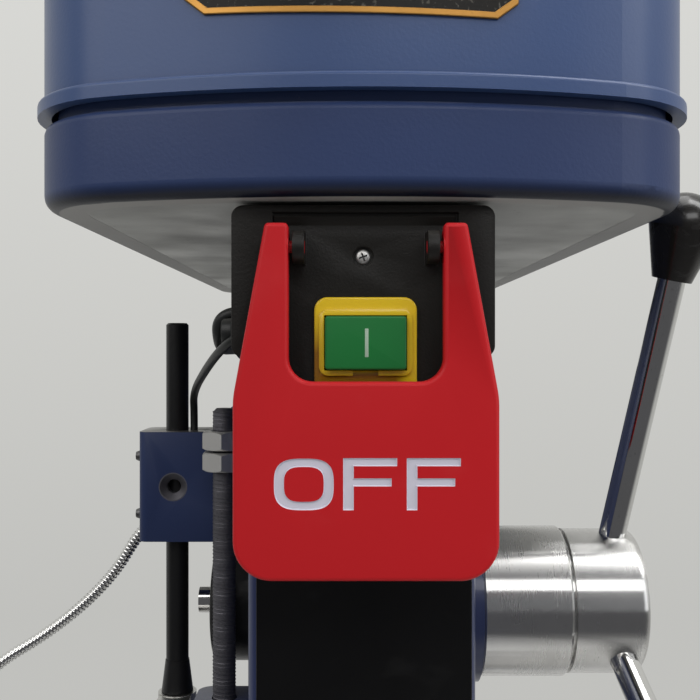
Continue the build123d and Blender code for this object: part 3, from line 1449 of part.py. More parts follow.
# Motor: finned shell with its top bell and mounting foot, fan cover, rotor shaft
with BuildPart() as motor_body:
    rod(facing_up(0, motor_y, motor_foot), motor_r, motor_h)
    with BuildSketch(facing_up(0, motor_y, motor_foot)):
        with PolarLocations(motor_r, motor_fins):
            Rectangle(2 * motor_fin, motor_fin_t)
    extrude(amount=motor_h - motor_bell)
    rod(facing_up(0, motor_y, motor_top - motor_bell), motor_r + motor_fin, motor_bell)
    fillet(motor_body.edges().group_by(Axis.Z)[-1], motor_edge)
    block((-foot_w / 2, plate_y + plate_t, slide_z - foot_h / 2),
          (foot_w / 2, motor_y - motor_r / 2, slide_z + foot_h / 2))
    rod(facing_up(0, motor_y, motor_foot), motor_r - motor_wall, motor_h - motor_wall, Mode.SUBTRACT)
    rod(facing_up(0, motor_y, motor_top - motor_wall), motor_shaft_d / 2 + fit, motor_wall, Mode.SUBTRACT)
motor_body.part.label = "motor_body"

fan_cover_z = motor_foot - fan_cover_h
with BuildPart() as motor_fan_cover:
    rod(facing_up(0, motor_y, fan_cover_z), motor_r + motor_fin, fan_cover_h)
    fillet(motor_fan_cover.edges().group_by(Axis.Z)[0], motor_edge)
    rod(facing_up(0, motor_y, fan_cover_z + fan_cover_t), motor_r + motor_fin - fan_cover_t, fan_cover_h,
        Mode.SUBTRACT)
    with BuildSketch(facing_up(0, motor_y, fan_cover_z)):
        with PolarLocations(fan_slot_circle / 2, fan_slots):
            SlotOverall(fan_slot_l, fan_slot_w)
    extrude(amount=fan_cover_t, mode=Mode.SUBTRACT)
motor_fan_cover.part.label = "motor_fan_cover"

rotor_z = motor_foot + (motor_h - motor_wall - rotor_l) / 2
with BuildPart() as motor_shaft:
    rod(facing_up(0, motor_y, motor_foot), motor_shaft_d / 2, pulley_top - motor_foot)
    rod(facing_up(0, motor_y, rotor_z), rotor_d / 2, rotor_l)
motor_shaft.part.label = "motor_shaft"

with BuildPart() as motor_plate:
    with BuildSketch(facing_back(0, plate_y, slide_z)):
        RectangleRounded(plate_w, plate_h, plate_corner)
        with GridLocations(2 * slide_x, 0, 2, 1):
            Circle(slide_d / 2, mode=Mode.SUBTRACT)
    extrude(amount=plate_t)
motor_plate.part.label = "motor_plate"

with BuildPart() as slide_rods:
    for side in (-1, 1):
        rod(facing_back(side * slide_x, slide_front, slide_z), slide_d / 2, plate_y + plate_t - slide_front)
slide_rods.part.label = "slide_rods"

lock_foot = slide_z - slide_boss_d / 2 - slide_lock_drop
with BuildPart() as slide_lock:
    rod(facing_up(slide_x, 0, lock_foot), slide_lock_d / 2, slide_z - slide_d / 2 - gap - lock_foot)
    with BuildSketch(facing_up(slide_x, 0, lock_foot - slide_knob_h)):
        Circle(slide_knob_d / 2)
        with PolarLocations(slide_knob_d / 2, slide_knob_flutes):
            Circle(slide_knob_flute_d / 2, mode=Mode.SUBTRACT)
    extrude(amount=slide_knob_h)
slide_lock.part.label = "slide_lock"

# Chuck guard: block on the head, sliding rod, swinging knuckle with its strap, clear shield
with BuildPart() as guard_block:
    block((block_left, block_front_y, block_z), (-head_half, block_front_y + block_d, block_top))
    fillet(guard_block.edges().filter_by(Axis.Z).group_by(Axis.X)[0], block_corner)
    rod(facing_up(-guard_rod_x, rod_y, block_z), guard_rod_d / 2 + fit, block_h, Mode.SUBTRACT)
    with Locations(facing_front(-guard_rod_x, block_front_y, (block_z + block_top) / 2)):
        CounterSinkHole(clamp_hole_d / 2, clamp_sink_d / 2, depth=rod_y - block_front_y)
guard_block.part.label = "guard_block"

knuckle_r = guard_rod_d / 2 + knuckle_wall
rod_nut_z = knuckle_foot - gap - rod_nut_h
guard_rod_foot = rod_nut_z - guard_rod_tail
with BuildPart() as guard_rod:
    rod(facing_up(-guard_rod_x, rod_y, guard_rod_foot), guard_rod_d / 2, guard_rod_top - guard_rod_foot)
    chamfer(guard_rod.edges().group_by(Axis.Z)[-1], guard_rod_d / 12)
    with Locations((-guard_rod_x, rod_y, ferrule_z)):
        Cone(ferrule_d / 2, guard_rod_d / 2 + gap, ferrule_h, align=(Align.CENTER, Align.CENTER, Align.MIN))
    hexagon(facing_up(-guard_rod_x, rod_y, rod_nut_z), rod_nut_af, rod_nut_h)
guard_rod.part.label = "guard_rod"

strap_left = -guard_rod_x - strap_w / 2
with BuildPart() as guard_strap:
    rod(facing_up(-guard_rod_x, rod_y, knuckle_foot), knuckle_r, knuckle_h)
    block((strap_left, strap_front, knuckle_foot), (strap_left + strap_w, rod_y, knuckle_top - gap))
    block((strap_left, strap_front, tab_z), (strap_left + strap_w, strap_front + strap_t, knuckle_top - gap))
    block((strap_left, strap_front, tab_z), (shield_edge_x - tab_back, strap_front + strap_t, tab_z + tab_h))
    rod(facing_up(-guard_rod_x, rod_y, knuckle_foot), guard_rod_d / 2 + fit, knuckle_h, Mode.SUBTRACT)
guard_strap.part.label = "guard_strap"

with BuildPart() as guard_shield:
    with BuildSketch(facing_up(0, spindle_y, shield_z)):
        with BuildLine():
            CenterArc((0, 0), shield_r, 270 - shield_spread, 2 * shield_spread)
            CenterArc((0, 0), shield_r - shield_t, 270 - shield_spread, 2 * shield_spread)
            for end in (270 - shield_spread, 270 + shield_spread):
                way = Vector(cos(radians(end)), sin(radians(end)))
                Line(way * (shield_r - shield_t), way * shield_r)
        make_face()
    extrude(amount=shield_h)
    block((strap_left + strap_w, strap_front - shield_t, tab_z), (shield_edge_x, strap_front, tab_z + tab_h))
guard_shield.part.label = "guard_shield"

# Work lamp: socket on the back of the guard block, bent neck, small round head
lamp_start = Vector(block_left + lamp_seat_x, block_front_y + block_d, block_z + lamp_seat_z)
lamp_route = [lamp_start + Vector(*point) for point in lamp_points]
lamp_end = lamp_route[-1]
lamp_aim = (lamp_end - lamp_route[-2]).normalized()
with BuildPart() as lamp_neck:
    rod(facing_back(*lamp_start), lamp_socket_d / 2, lamp_socket_l)
    tube((lamp_start, *lamp_route), lamp_radii, lamp_neck_d)
lamp_neck.part.label = "lamp_neck"

with BuildPart() as lamp_head:
    rod(Plane(origin=lamp_end, z_dir=lamp_aim), lamp_head_d / 2, lamp_head_l)
    fillet(lamp_head.edges().sort_by(Axis(lamp_end, lamp_aim))[0], lamp_head_edge)
    lamp_mouth = lamp_end + lamp_aim * (lamp_head_l - lamp_glass_in)
    rod(Plane(origin=lamp_mouth, z_dir=lamp_aim), lamp_head_d / 2 - lamp_head_wall, lamp_glass_in,
        Mode.SUBTRACT)
lamp_head.part.label = "lamp_head"

# Leads: both leave the box's left side; one ends in a gland on the head, one in the guard block
box_corner_at = Vector(box_left, box_front_y, box_top)
interlock_route = [box_corner_at + Vector(*point) for point in interlock_points]
interlock_exit = (box_left, interlock_route[0].Y, interlock_route[0].Z)
interlock_x = -guard_rod_x + interlock_in
with BuildPart() as switch_leads:
    tube(
        ((box_left, lead_y, motor_lead_z), (motor_lead_x, lead_y, motor_lead_z),
         (motor_lead_x, lead_y + motor_lead_lean, motor_lead_low), (motor_lead_x, gland_y, motor_lead_low)),
        motor_lead_radii,
        motor_lead_d,
    )
    tube(
        (interlock_exit, *interlock_route,
         (interlock_x, rod_y, block_top + interlock_fall), (interlock_x, rod_y, block_top)),
        interlock_radii,
        interlock_lead_d,
    )
switch_leads.part.label = "switch_leads"

pieces = [
    base, column_flange, flange_bolts, column, column_rack, rack_ring,
    table_arm, lift_pinion, crank_arm, crank_grip, column_lock_lever, tilt_bolt,
    table_bracket, table_lock_lever, table,
    head_casting, front_panel, quill, quill_bearings, spindle,
    chuck_body, chuck_sleeve, *chuck_jaws, quill_collar, depth_rod, depth_nuts,
    feed_shaft, feed_hub, feed_spokes, feed_knobs, spring_cap, return_spring,
    switch_box, switch_module, start_button, stop_button, stop_paddle,
    belt_pan, pan_floor, belt_cover, hinge_pins,
    spindle_pulley, drive_bearings, motor_pulley, drive_belt,
    motor_body, motor_fan_cover, motor_shaft, motor_plate, slide_rods, slide_lock,
    guard_block, guard_rod, guard_strap, guard_shield,
    lamp_neck, lamp_head, switch_leads,
]
os.makedirs("parts", exist_ok=True)
for piece in pieces:
    export_step(piece.part, f"parts/{piece.part.label}.step")
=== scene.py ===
import contextlib
import json
import math
import bmesh
import bpy
from mathutils import Matrix, Vector


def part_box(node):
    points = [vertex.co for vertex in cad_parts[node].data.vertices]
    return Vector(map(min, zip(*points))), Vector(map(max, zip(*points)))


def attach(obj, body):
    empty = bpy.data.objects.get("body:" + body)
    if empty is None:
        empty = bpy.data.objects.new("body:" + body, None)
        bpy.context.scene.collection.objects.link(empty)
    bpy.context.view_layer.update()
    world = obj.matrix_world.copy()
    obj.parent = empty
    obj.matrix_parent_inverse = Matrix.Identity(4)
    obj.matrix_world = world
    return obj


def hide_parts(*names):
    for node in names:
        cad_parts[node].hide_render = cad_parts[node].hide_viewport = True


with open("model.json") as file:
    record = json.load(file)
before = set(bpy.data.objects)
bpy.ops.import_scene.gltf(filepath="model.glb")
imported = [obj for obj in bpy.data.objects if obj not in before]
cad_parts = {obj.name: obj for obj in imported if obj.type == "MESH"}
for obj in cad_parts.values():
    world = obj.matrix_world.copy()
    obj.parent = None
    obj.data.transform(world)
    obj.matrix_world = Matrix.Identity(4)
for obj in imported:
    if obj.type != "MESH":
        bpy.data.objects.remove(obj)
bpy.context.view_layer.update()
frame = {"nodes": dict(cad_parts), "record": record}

mm = 0.001
cadNodes = frame["nodes"]
slotOf = {row["node"]: row["material_slot"] for row in frame["record"]["subparts"]}
scene = bpy.context.scene
print("frame loaded:", len(cadNodes), "nodes")

# Camera and studio

cameraSetup = {
    "place": (-4.5 * mm, -638 * mm, 880 * mm),
    "turn": (90.0, 0.0, 0.0),
    "lens": 50.0,
    "sensor": 36.0,
    "clip": 0.01,
}
studio = {
    "floorRadius": 1.25,
    "floorFade": (0.45, 0.98),  # shares of the radius between which the floor fades out
    "floorColour": (0.66, 0.66, 0.645),
    "floorMottle": (0.60, 0.60, 0.59),
    "mottleNoise": (9.0, 4.0),
    "mottleRange": (0.3, 0.7, 0.0, 0.25),
    "floorRough": 0.7,
    "wallLow": (0.53, 0.53, 0.51),
    "wallHigh": (0.69, 0.69, 0.665),
    "wallRise": (-0.25, 0.35),
    "roomDark": (0.10, 0.10, 0.105),  # what bright metal mirrors from the camera's side
    "roomOnset": (0.05, -0.40),
    "fillStrength": 0.37,
}
lampSetup = [  # name, place, aim, size, power, colour
    ("keyPanel", (-0.95, -1.25, 1.75), (0.0, -0.25, 0.9), (1.5, 1.1), 12.0, (1.0, 0.985, 0.96)),
    ("fillPanel", (1.25, -0.95, 1.15), (0.0, -0.2, 0.8), (0.7, 1.1), 5.0, (0.96, 0.98, 1.0)),
    ("frontPanel", (0.35, -1.5, 1.70), (0.05, -0.2, 0.78), (0.9, 0.45), 5.0, (1.0, 1.0, 1.0)),
    ("sidePanel", (0.8, -0.45, 1.9), (0.07, -0.19, 0.8), (0.42, 1.1), 10.0, (1.0, 1.0, 1.0)),
    ("topPanel", (0.0, -0.1, 2.1), (0.0, 0.0, 0.9), (1.0, 1.0), 8.0, (1.0, 1.0, 1.0)),
    ("backPanel", (0.5, 1.5, 1.5), (0.0, 0.1, 0.8), (1.2, 0.9), 9.0, (1.0, 1.0, 1.0)),
]
unmirrored = {"backPanel"}  # lights the back without a streak in the bright metal


def feed(tree, socket, value):
    if isinstance(value, bpy.types.NodeSocket):
        tree.links.new(value, socket)
    else:
        socket.default_value = value


def addNode(tree, kind, options, sockets):
    node = tree.nodes.new(kind)
    for key, value in (options or {}).items():
        setattr(node, key, value)
    for key, value in sockets.items():
        feed(tree, node.inputs[key.replace("_", " ")], value)
    return node


def put(tree, kind, options=None, **sockets):
    return addNode(tree, "ShaderNode" + kind, options, sockets)


def geo(tree, kind, options=None, **sockets):
    return addNode(tree, "GeometryNode" + kind, options, sockets)


def shape(tree, kind, options=None, **sockets):
    return geo(tree, kind, options, **sockets).outputs[0]


def sums(tree, operation, *values, clamp=False):
    node = put(tree, "Math", {"operation": operation, "use_clamp": clamp})
    for socket, value in zip(node.inputs, values):
        feed(tree, socket, value)
    return node.outputs[0]


def times(tree, *values, clamp=False):
    return sums(tree, "MULTIPLY", *values, clamp=clamp)


def plus(tree, *values):
    return sums(tree, "ADD", *values)


def vectors(tree, operation, first, second):
    node = put(tree, "VectorMath", {"operation": operation}, Vector=first)
    feed(tree, node.inputs[1], second)
    return node.outputs


def tint(tree, factor, first, second):
    node = put(tree, "Mix", {"data_type": "RGBA"})
    for index, value in ((0, factor), (6, first), (7, second)):
        plain = isinstance(value, (float, bpy.types.NodeSocket))
        feed(tree, node.inputs[index], value if plain else (*value, 1.0))
    return node.outputs[2]


def ramp(tree, value, low, high, least=0.0, most=1.0):
    node = put(tree, "MapRange", Value=value, From_Min=low, From_Max=high, To_Min=least, To_Max=most)
    return node.outputs[0]


def objectPlace(tree):
    return put(tree, "TexCoord").outputs["Object"]


def split(tree, vector):
    return put(tree, "SeparateXYZ", Vector=vector).outputs


def facingUp(tree):
    return split(tree, put(tree, "TexCoord").outputs["Normal"])["Z"]


def noise(tree, place, scale, detail):
    return put(tree, "TexNoise", Vector=place, Scale=scale, Detail=detail).outputs[0]


def newFinish(name):
    material = bpy.data.materials.new(name)
    material.use_nodes = True
    tree = material.node_tree
    tree.nodes.clear()
    skin = put(tree, "BsdfPrincipled")
    put(tree, "OutputMaterial", Surface=skin.outputs[0])
    return material, tree, skin


def setCamera():
    data = bpy.data.cameras.new("pressCamera")
    data.lens = cameraSetup["lens"]
    data.sensor_width = cameraSetup["sensor"]
    data.clip_start = cameraSetup["clip"]
    camera = bpy.data.objects.new("pressCamera", data)
    camera.location = cameraSetup["place"]
    camera.rotation_euler = [math.radians(a) for a in cameraSetup["turn"]]
    scene.collection.objects.link(camera)
    scene.camera = camera


def setWorld():
    world = bpy.data.worlds.new("workshopAir")
    scene.world = world
    world.use_nodes = True
    tree = world.node_tree
    tree.nodes.clear()
    way = put(tree, "TexCoord").outputs["Generated"]
    parts = split(tree, way)
    wall = tint(tree, ramp(tree, parts["Z"], *studio["wallRise"]), studio["wallLow"], studio["wallHigh"])
    room = tint(tree, ramp(tree, parts["Y"], *studio["roomOnset"]), wall, studio["roomDark"])
    path = put(tree, "LightPath").outputs
    seen = tint(tree, path["Is Glossy Ray"], wall, room)
    looks = sums(tree, "MAXIMUM", path["Is Camera Ray"], path["Is Glossy Ray"])
    looks = sums(tree, "MAXIMUM", looks, path["Is Transmission Ray"])
    view = put(tree, "Background", Color=seen, Strength=1.0).outputs[0]
    fill = put(tree, "Background", Color=(1.0, 1.0, 1.0, 1.0), Strength=studio["fillStrength"]).outputs[0]
    mix = put(tree, "MixShader")
    for socket, value in zip(mix.inputs, (looks, fill, view)):
        feed(tree, socket, value)
    put(tree, "OutputWorld", Surface=mix.outputs[0])


def setLamps():
    for name, place, aim, size, power, colour in lampSetup:
        data = bpy.data.lights.new(name, "AREA")
        data.shape = "RECTANGLE"
        data.size, data.size_y = size
        data.energy = power
        data.color = colour
        lamp = bpy.data.objects.new(name, data)
        lamp.location = place
        lamp.visible_glossy = name not in unmirrored
        lamp.rotation_euler = (Vector(aim) - Vector(place)).to_track_quat("-Z", "Y").to_euler()
        scene.collection.objects.link(lamp)


def setFloor():
    mesh = bpy.data.meshes.new("benchFloor")
    rim = studio["floorRadius"]
    bm = bmesh.new()
    bmesh.ops.create_circle(bm, cap_ends=True, radius=rim, segments=96)
    bm.to_mesh(mesh)
    bm.free()
    floor = bpy.data.objects.new("benchFloor", mesh)
    scene.collection.objects.link(floor)
    material, tree, skin = newFinish("benchFloor")
    place = objectPlace(tree)
    reach = put(tree, "VectorMath", {"operation": "LENGTH"}, Vector=place).outputs["Value"]
    mottle = ramp(tree, noise(tree, place, *studio["mottleNoise"]), *studio["mottleRange"])
    solid = ramp(tree, reach, *(rim * share for share in studio["floorFade"]), 1.0, 0.0)
    feed(tree, skin.inputs["Base Color"], tint(tree, mottle, studio["floorColour"], studio["floorMottle"]))
    feed(tree, skin.inputs["Alpha"], solid)
    skin.inputs["Roughness"].default_value = studio["floorRough"]
    mesh.materials.append(material)


scene.view_settings.view_transform = "Standard"
setCamera()
setWorld()
setLamps()
setFloor()
print("studio set")

# Surface effects shared by the finishes

noiseCuts = {  # values of the noise, or of the slope, from which an effect starts and is full
    "patch": (0.52, 0.66), "chip": (0.70, 0.73), "blotch": (0.32, 0.68), "scuff": (0.60, 0.76),
    "cloud": (0.3, 0.7), "stain": (0.38, 0.72), "pit": (0.64, 0.74), "upward": (0.55, 0.98),
    "dust": (0.35, 0.7),
}
finerBy = {"cloud": 0.35, "pits": 30.0}  # scale against the scuffs and the stains


def newGroup(name, inputs, outputs):
    group = bpy.data.node_groups.new(name, "ShaderNodeTree")
    for label, value in inputs.items():
        kind = "Vector" if isinstance(value, tuple) else "Float"
        socket = group.interface.new_socket(name=label, in_out="INPUT", socket_type="NodeSocket" + kind)
        socket.default_value = value
    for label in outputs:
        group.interface.new_socket(name=label, in_out="OUTPUT", socket_type="NodeSocketFloat")
    return group, group.nodes.new("NodeGroupInput").outputs, group.nodes.new("NodeGroupOutput").inputs


def enamelSkin():
    inputs = {"Peel Scale": 900.0, "Blotch Scale": 14.0, "Chip Scale": 120.0}
    tree, given, result = newGroup("enamelSkin", inputs, ["Peel", "Blotch", "Chips"])
    place = objectPlace(tree)
    blotch = noise(tree, place, given["Blotch Scale"], detail=4.0)
    chips = put(tree, "TexNoise", Vector=place, Scale=given["Chip Scale"], Detail=6.0, Roughness=0.65)
    patch = ramp(tree, blotch, *noiseCuts["patch"])
    spot = ramp(tree, chips.outputs[0], *noiseCuts["chip"])
    feed(tree, result["Peel"], noise(tree, place, given["Peel Scale"], detail=2.0))
    feed(tree, result["Blotch"], ramp(tree, blotch, *noiseCuts["blotch"]))
    feed(tree, result["Chips"], times(tree, patch, spot))
    return tree


def mouldGrain():
    inputs = {"Grain Scale": 1500.0, "Scuff Scale": 60.0}
    tree, given, result = newGroup("mouldGrain", inputs, ["Grain", "Scuff", "Cloud"])
    place = objectPlace(tree)
    slanted = put(tree, "Mapping", Vector=place, Rotation=(0.4, 0.7, 0.9), Scale=(1.0, 14.0, 1.4)).outputs[0]
    scratch = noise(tree, slanted, given["Scuff Scale"], detail=5.0)
    cloud = noise(tree, place, times(tree, given["Scuff Scale"], finerBy["cloud"]), detail=3.0)
    feed(tree, result["Grain"], noise(tree, place, given["Grain Scale"], detail=3.0))
    feed(tree, result["Scuff"], ramp(tree, scratch, *noiseCuts["scuff"]))
    feed(tree, result["Cloud"], ramp(tree, cloud, *noiseCuts["cloud"]))
    return tree


def metalLines():
    inputs = {"Stretch": (40.0, 40.0, 1500.0), "Stain Scale": 22.0}
    tree, given, result = newGroup("metalLines", inputs, ["Lines", "Stain", "Pits"])
    place = objectPlace(tree)
    drawn = vectors(tree, "MULTIPLY", place, given["Stretch"])["Vector"]
    stain = noise(tree, place, given["Stain Scale"], detail=5.0)
    pits = noise(tree, place, times(tree, given["Stain Scale"], finerBy["pits"]), detail=4.0)
    feed(tree, result["Lines"], noise(tree, drawn, scale=1.0, detail=4.0))
    feed(tree, result["Stain"], ramp(tree, stain, *noiseCuts["stain"]))
    feed(tree, result["Pits"], ramp(tree, pits, *noiseCuts["pit"]))
    return tree


def shopDust():
    tree, given, result = newGroup("shopDust", {"Amount": 0.3, "Patch Scale": 30.0}, ["Dust"])
    place = objectPlace(tree)
    lies = ramp(tree, facingUp(tree), *noiseCuts["upward"])
    patch = noise(tree, place, given["Patch Scale"], detail=6.0)
    amount = times(tree, lies, ramp(tree, patch, *noiseCuts["dust"]))
    feed(tree, result["Dust"], times(tree, amount, given["Amount"], clamp=True))
    return tree


effects = {"enamel": enamelSkin(), "mould": mouldGrain(), "metal": metalLines(), "dust": shopDust()}
dustLook = {"colour": (0.30, 0.29, 0.27), "rough": 0.35}
paintWearAndShade = {
    "blotch": 0.6, "blotchRough": 0.08, "chipColour": (0.11, 0.10, 0.095), "bareRough": 0.25,
    "below": (-0.985, -0.995), "rolled": (-0.05, -0.75),  # how far a face looks down, from none to all; the second pair places painted shade on the rounded lower edge
    "flat": 0.9,
}
plasticWear = {"cloud": 0.5, "cloudRough": 0.06, "scuffRough": 0.12}
plasticSkin = {"Coat Roughness": 0.12, "IOR": 1.49}
pitColour = (0.05, 0.045, 0.04)


def useEffect(tree, name, **values):
    return put(tree, "Group", {"node_tree": effects[name]}, **values).outputs


def bumped(tree, height, s):
    return put(tree, "Bump", Height=height, Strength=s["bump"], Distance=s["depth"] * mm).outputs[0]


def dressSkin(tree, skin, s, colour, rough, height):
    if s["dust"]:
        dust = useEffect(tree, "dust", Amount=s["dust"])["Dust"]
        colour = tint(tree, dust, colour, dustLook["colour"])
        rough = plus(tree, rough, times(tree, dust, dustLook["rough"]))
    feed(tree, skin.inputs["Base Color"], colour)
    feed(tree, skin.inputs["Roughness"], rough)
    feed(tree, skin.inputs["Normal"], bumped(tree, height, s))


def setSkin(skin, values):
    for label, value in values.items():
        skin.inputs[label].default_value = value


def enamelFinish(name, s):
    material, tree, skin = newFinish(name)
    got = useEffect(tree, "enamel", Peel_Scale=s["peel"], Blotch_Scale=s["blotch"], Chip_Scale=s["chip"])
    colour = tint(tree, times(tree, got["Blotch"], paintWearAndShade["blotch"]), s["colour"], s["shade"])
    colour = tint(tree, times(tree, got["Chips"], s["chipping"]), colour, paintWearAndShade["chipColour"])
    rough = plus(tree, s["rough"], times(tree, got["Blotch"], paintWearAndShade["blotchRough"]))
    if "under" in s:  # painted shade darkens the rounded lower edge; unpainted below it and on the inside of the foot
        coords = put(tree, "TexCoord").outputs
        upward = facingUp(tree)
        below = ramp(tree, upward, *paintWearAndShade["below"])
        colour = tint(tree, ramp(tree, upward, *paintWearAndShade["rolled"]), colour, s["rolled"])
        level = vectors(tree, "MULTIPLY", coords["Normal"], (1.0, 1.0, 0.0))["Vector"]
        outwards = vectors(tree, "DOT_PRODUCT", level, coords["Object"])["Value"]
        low = sums(tree, "LESS_THAN", split(tree, coords["Object"])["Z"], s["underTop"])
        inner = times(tree, sums(tree, "LESS_THAN", outwards, 0.0), low)
        below = sums(tree, "MAXIMUM", below, inner)
        colour = tint(tree, below, colour, s["under"])
        rough = plus(tree, rough, times(tree, below, paintWearAndShade["bareRough"]))
    dressSkin(tree, skin, s, colour, rough, got["Peel"])
    coat = {"Coat Weight": s["coat"], "Coat Roughness": s["coatRough"]}
    setSkin(skin, {**coat, "Specular IOR Level": s["specular"]})
    return material


def plasticFinish(name, s):
    material, tree, skin = newFinish(name)
    got = useEffect(tree, "mould", Grain_Scale=s["grain"], Scuff_Scale=s["scuff"])
    colour = tint(tree, times(tree, got["Cloud"], plasticWear["cloud"]), s["colour"], s["shade"])
    colour = tint(tree, times(tree, got["Scuff"], s["worn"]), colour, s["wornColour"])
    if "amber" in s:  # painted reflection of the red paddle and painted shade, down the left side and along the foot, behind the rim
        a = s["amber"]
        place = split(tree, objectPlace(tree))
        side = times(tree, ramp(tree, place["X"], *a["left"]), ramp(tree, place["Z"], *a["low"]))
        foot = times(tree, ramp(tree, place["X"], *a["right"]), ramp(tree, place["Z"], *a["foot"]))
        reflectedShare = times(tree, sums(tree, "MAXIMUM", side, foot), ramp(tree, place["Y"], *a["deep"]))
        colour = tint(tree, times(tree, reflectedShare, a["most"]), colour, a["colour"])
    rough = plus(tree, s["rough"], times(tree, got["Scuff"], plasticWear["scuffRough"]))
    rough = plus(tree, rough, times(tree, got["Cloud"], plasticWear["cloudRough"]))
    dressSkin(tree, skin, s, colour, rough, got["Grain"])
    setSkin(skin, {**plasticSkin, "Coat Weight": s.get("coat", 0.0), "Specular IOR Level": s["specular"]})
    return material


def metalFinish(name, s):
    material, tree, skin = newFinish(name)
    got = useEffect(tree, "metal", Stretch=s["stretch"], Stain_Scale=s["stain"])
    colour = tint(tree, times(tree, got["Stain"], s["stained"]), s["colour"], s["shade"])
    colour = tint(tree, times(tree, got["Pits"], s["pitted"]), colour, pitColour)
    rough = plus(tree, s["rough"], times(tree, got["Stain"], s["roughStain"]))
    rough = plus(tree, rough, times(tree, got["Lines"], s["roughLine"]))
    dressSkin(tree, skin, s, colour, rough, got["Lines"])
    setSkin(skin, {"Metallic": 1.0})
    if "brushed" in s:  # turned lines run round the X axis
        tangent = put(tree, "Tangent", {"direction_type": "RADIAL", "axis": "X"})
        feed(tree, skin.inputs["Tangent"], tangent.outputs[0])
        setSkin(skin, {"Anisotropic": s["brushed"], "Anisotropic Rotation": 0.25})
    return material


def castTopFinish(name, s, metal, level):
    # enamel all over, with bare machined iron above the level
    material = enamelFinish(name, s)
    tree = material.node_tree
    skin = next(node for node in tree.nodes if node.type == "BSDF_PRINCIPLED")
    height = split(tree, objectPlace(tree))["Z"]
    flat = sums(tree, "GREATER_THAN", facingUp(tree), paintWearAndShade["flat"])
    bare = times(tree, sums(tree, "GREATER_THAN", height, level), flat)
    got = useEffect(tree, "metal", Stretch=metal["stretch"], Stain_Scale=metal["stain"])
    iron = tint(tree, times(tree, got["Stain"], metal["stained"]), metal["colour"], metal["shade"])
    painted = skin.inputs["Base Color"].links[0].from_socket
    ironRough = plus(tree, metal["rough"], times(tree, got["Stain"], metal["roughStain"]))
    paintRough = skin.inputs["Roughness"].links[0].from_socket
    rough = put(tree, "Mix")
    for index, value in ((0, bare), (2, paintRough), (3, ironRough)):
        feed(tree, rough.inputs[index], value)
    feed(tree, skin.inputs["Base Color"], tint(tree, bare, painted, iron))
    feed(tree, skin.inputs["Roughness"], rough.outputs[0])
    feed(tree, skin.inputs["Metallic"], bare)
    feed(tree, skin.inputs["Coat Weight"], times(tree, sums(tree, "SUBTRACT", 1.0, bare), s["coat"]))
    return material


def clearFinish(name, s):
    material, tree, skin = newFinish(name)
    got = useEffect(tree, "mould", Grain_Scale=s["grain"], Scuff_Scale=s["scuff"])
    rough = plus(tree, s["rough"], times(tree, got["Scuff"], plasticWear["scuffRough"]))
    feed(tree, skin.inputs["Roughness"], rough)
    feed(tree, skin.inputs["Normal"], bumped(tree, got["Cloud"], s))
    clear = {"Base Color": (*s["colour"], 1.0), "Transmission Weight": 1.0}
    setSkin(skin, {**clear, "IOR": plasticSkin["IOR"]})
    return material


enamelBase = {
    "colour": (0.020, 0.030, 0.088), "shade": (0.014, 0.021, 0.066), "rough": 0.30, "coat": 0.35,
    "coatRough": 0.12, "peel": 420.0, "blotch": 12.0, "chip": 160.0, "chipping": 0.7, "dust": 0.22,
    "bump": 0.16, "depth": 0.35, "specular": 0.4,
}
plasticBase = {
    "colour": (0.009, 0.008, 0.007), "shade": (0.013, 0.012, 0.010), "rough": 0.42, "grain": 1400.0,
    "scuff": 70.0, "worn": 0.12, "wornColour": (0.05, 0.05, 0.05), "dust": 0.25, "bump": 0.30,
    "depth": 0.12, "specular": 0.4,
}
metalBase = {
    "colour": (0.62, 0.615, 0.60), "shade": (0.40, 0.385, 0.36), "rough": 0.20,
    "stretch": (60.0, 60.0, 1800.0), "stain": 20.0, "stained": 0.45, "roughStain": 0.12,
    "roughLine": 0.10, "pitted": 0.15, "dust": 0.0, "bump": 0.10, "depth": 0.05,
}
bezelRedReflection = {  # painted reflection of the red paddle and painted shade; each pair: where it starts and where it is full
    "colour": (0.16, 0.045, 0.006), "most": 0.85,
    "left": (-13.2 * mm, -14.8 * mm), "low": (889.0 * mm, 879.0 * mm), "right": (15.0 * mm, 11.0 * mm),
    "foot": (873.5 * mm, 871.5 * mm), "deep": (-309.3 * mm, -307.9 * mm),
}
ironTop = dict(metalBase, colour=(0.36, 0.355, 0.345), shade=(0.23, 0.222, 0.21), rough=0.34,
               stretch=(900.0, 40.0, 40.0), stained=0.6, roughStain=0.18)

enamelRows = {
    "coverEnamel": dict(
        colour=(0.031, 0.062, 0.160), shade=(0.025, 0.051, 0.136), rough=0.34, coat=0.22, coatRough=0.26,
        peel=800.0, bump=0.20, depth=0.25, chipping=0.25, dust=0.16, specular=0.3),
    "panEnamel": dict(
        colour=(0.022, 0.039, 0.108), shade=(0.016, 0.029, 0.086), rough=0.38, coat=0.04, coatRough=0.18,
        peel=800.0, bump=0.24, depth=0.25, chipping=0.25, specular=0.24, under=(0.34, 0.335, 0.32),
        # the first colour on the next line is painted shade for the pan's rounded lower edge
        rolled=(0.004, 0.006, 0.016), underTop=935.0 * mm),
    "castEnamel": {},
    "blackEnamel": dict(
        colour=(0.005, 0.005, 0.0055), shade=(0.008, 0.008, 0.009), rough=0.34, coat=0.12, peel=700.0,
        chipping=0.5, dust=0.12, specular=0.3),
    "motorEnamel": dict(
        colour=(0.014, 0.015, 0.017), shade=(0.020, 0.021, 0.023), rough=0.40, coat=0.12, peel=600.0),
}
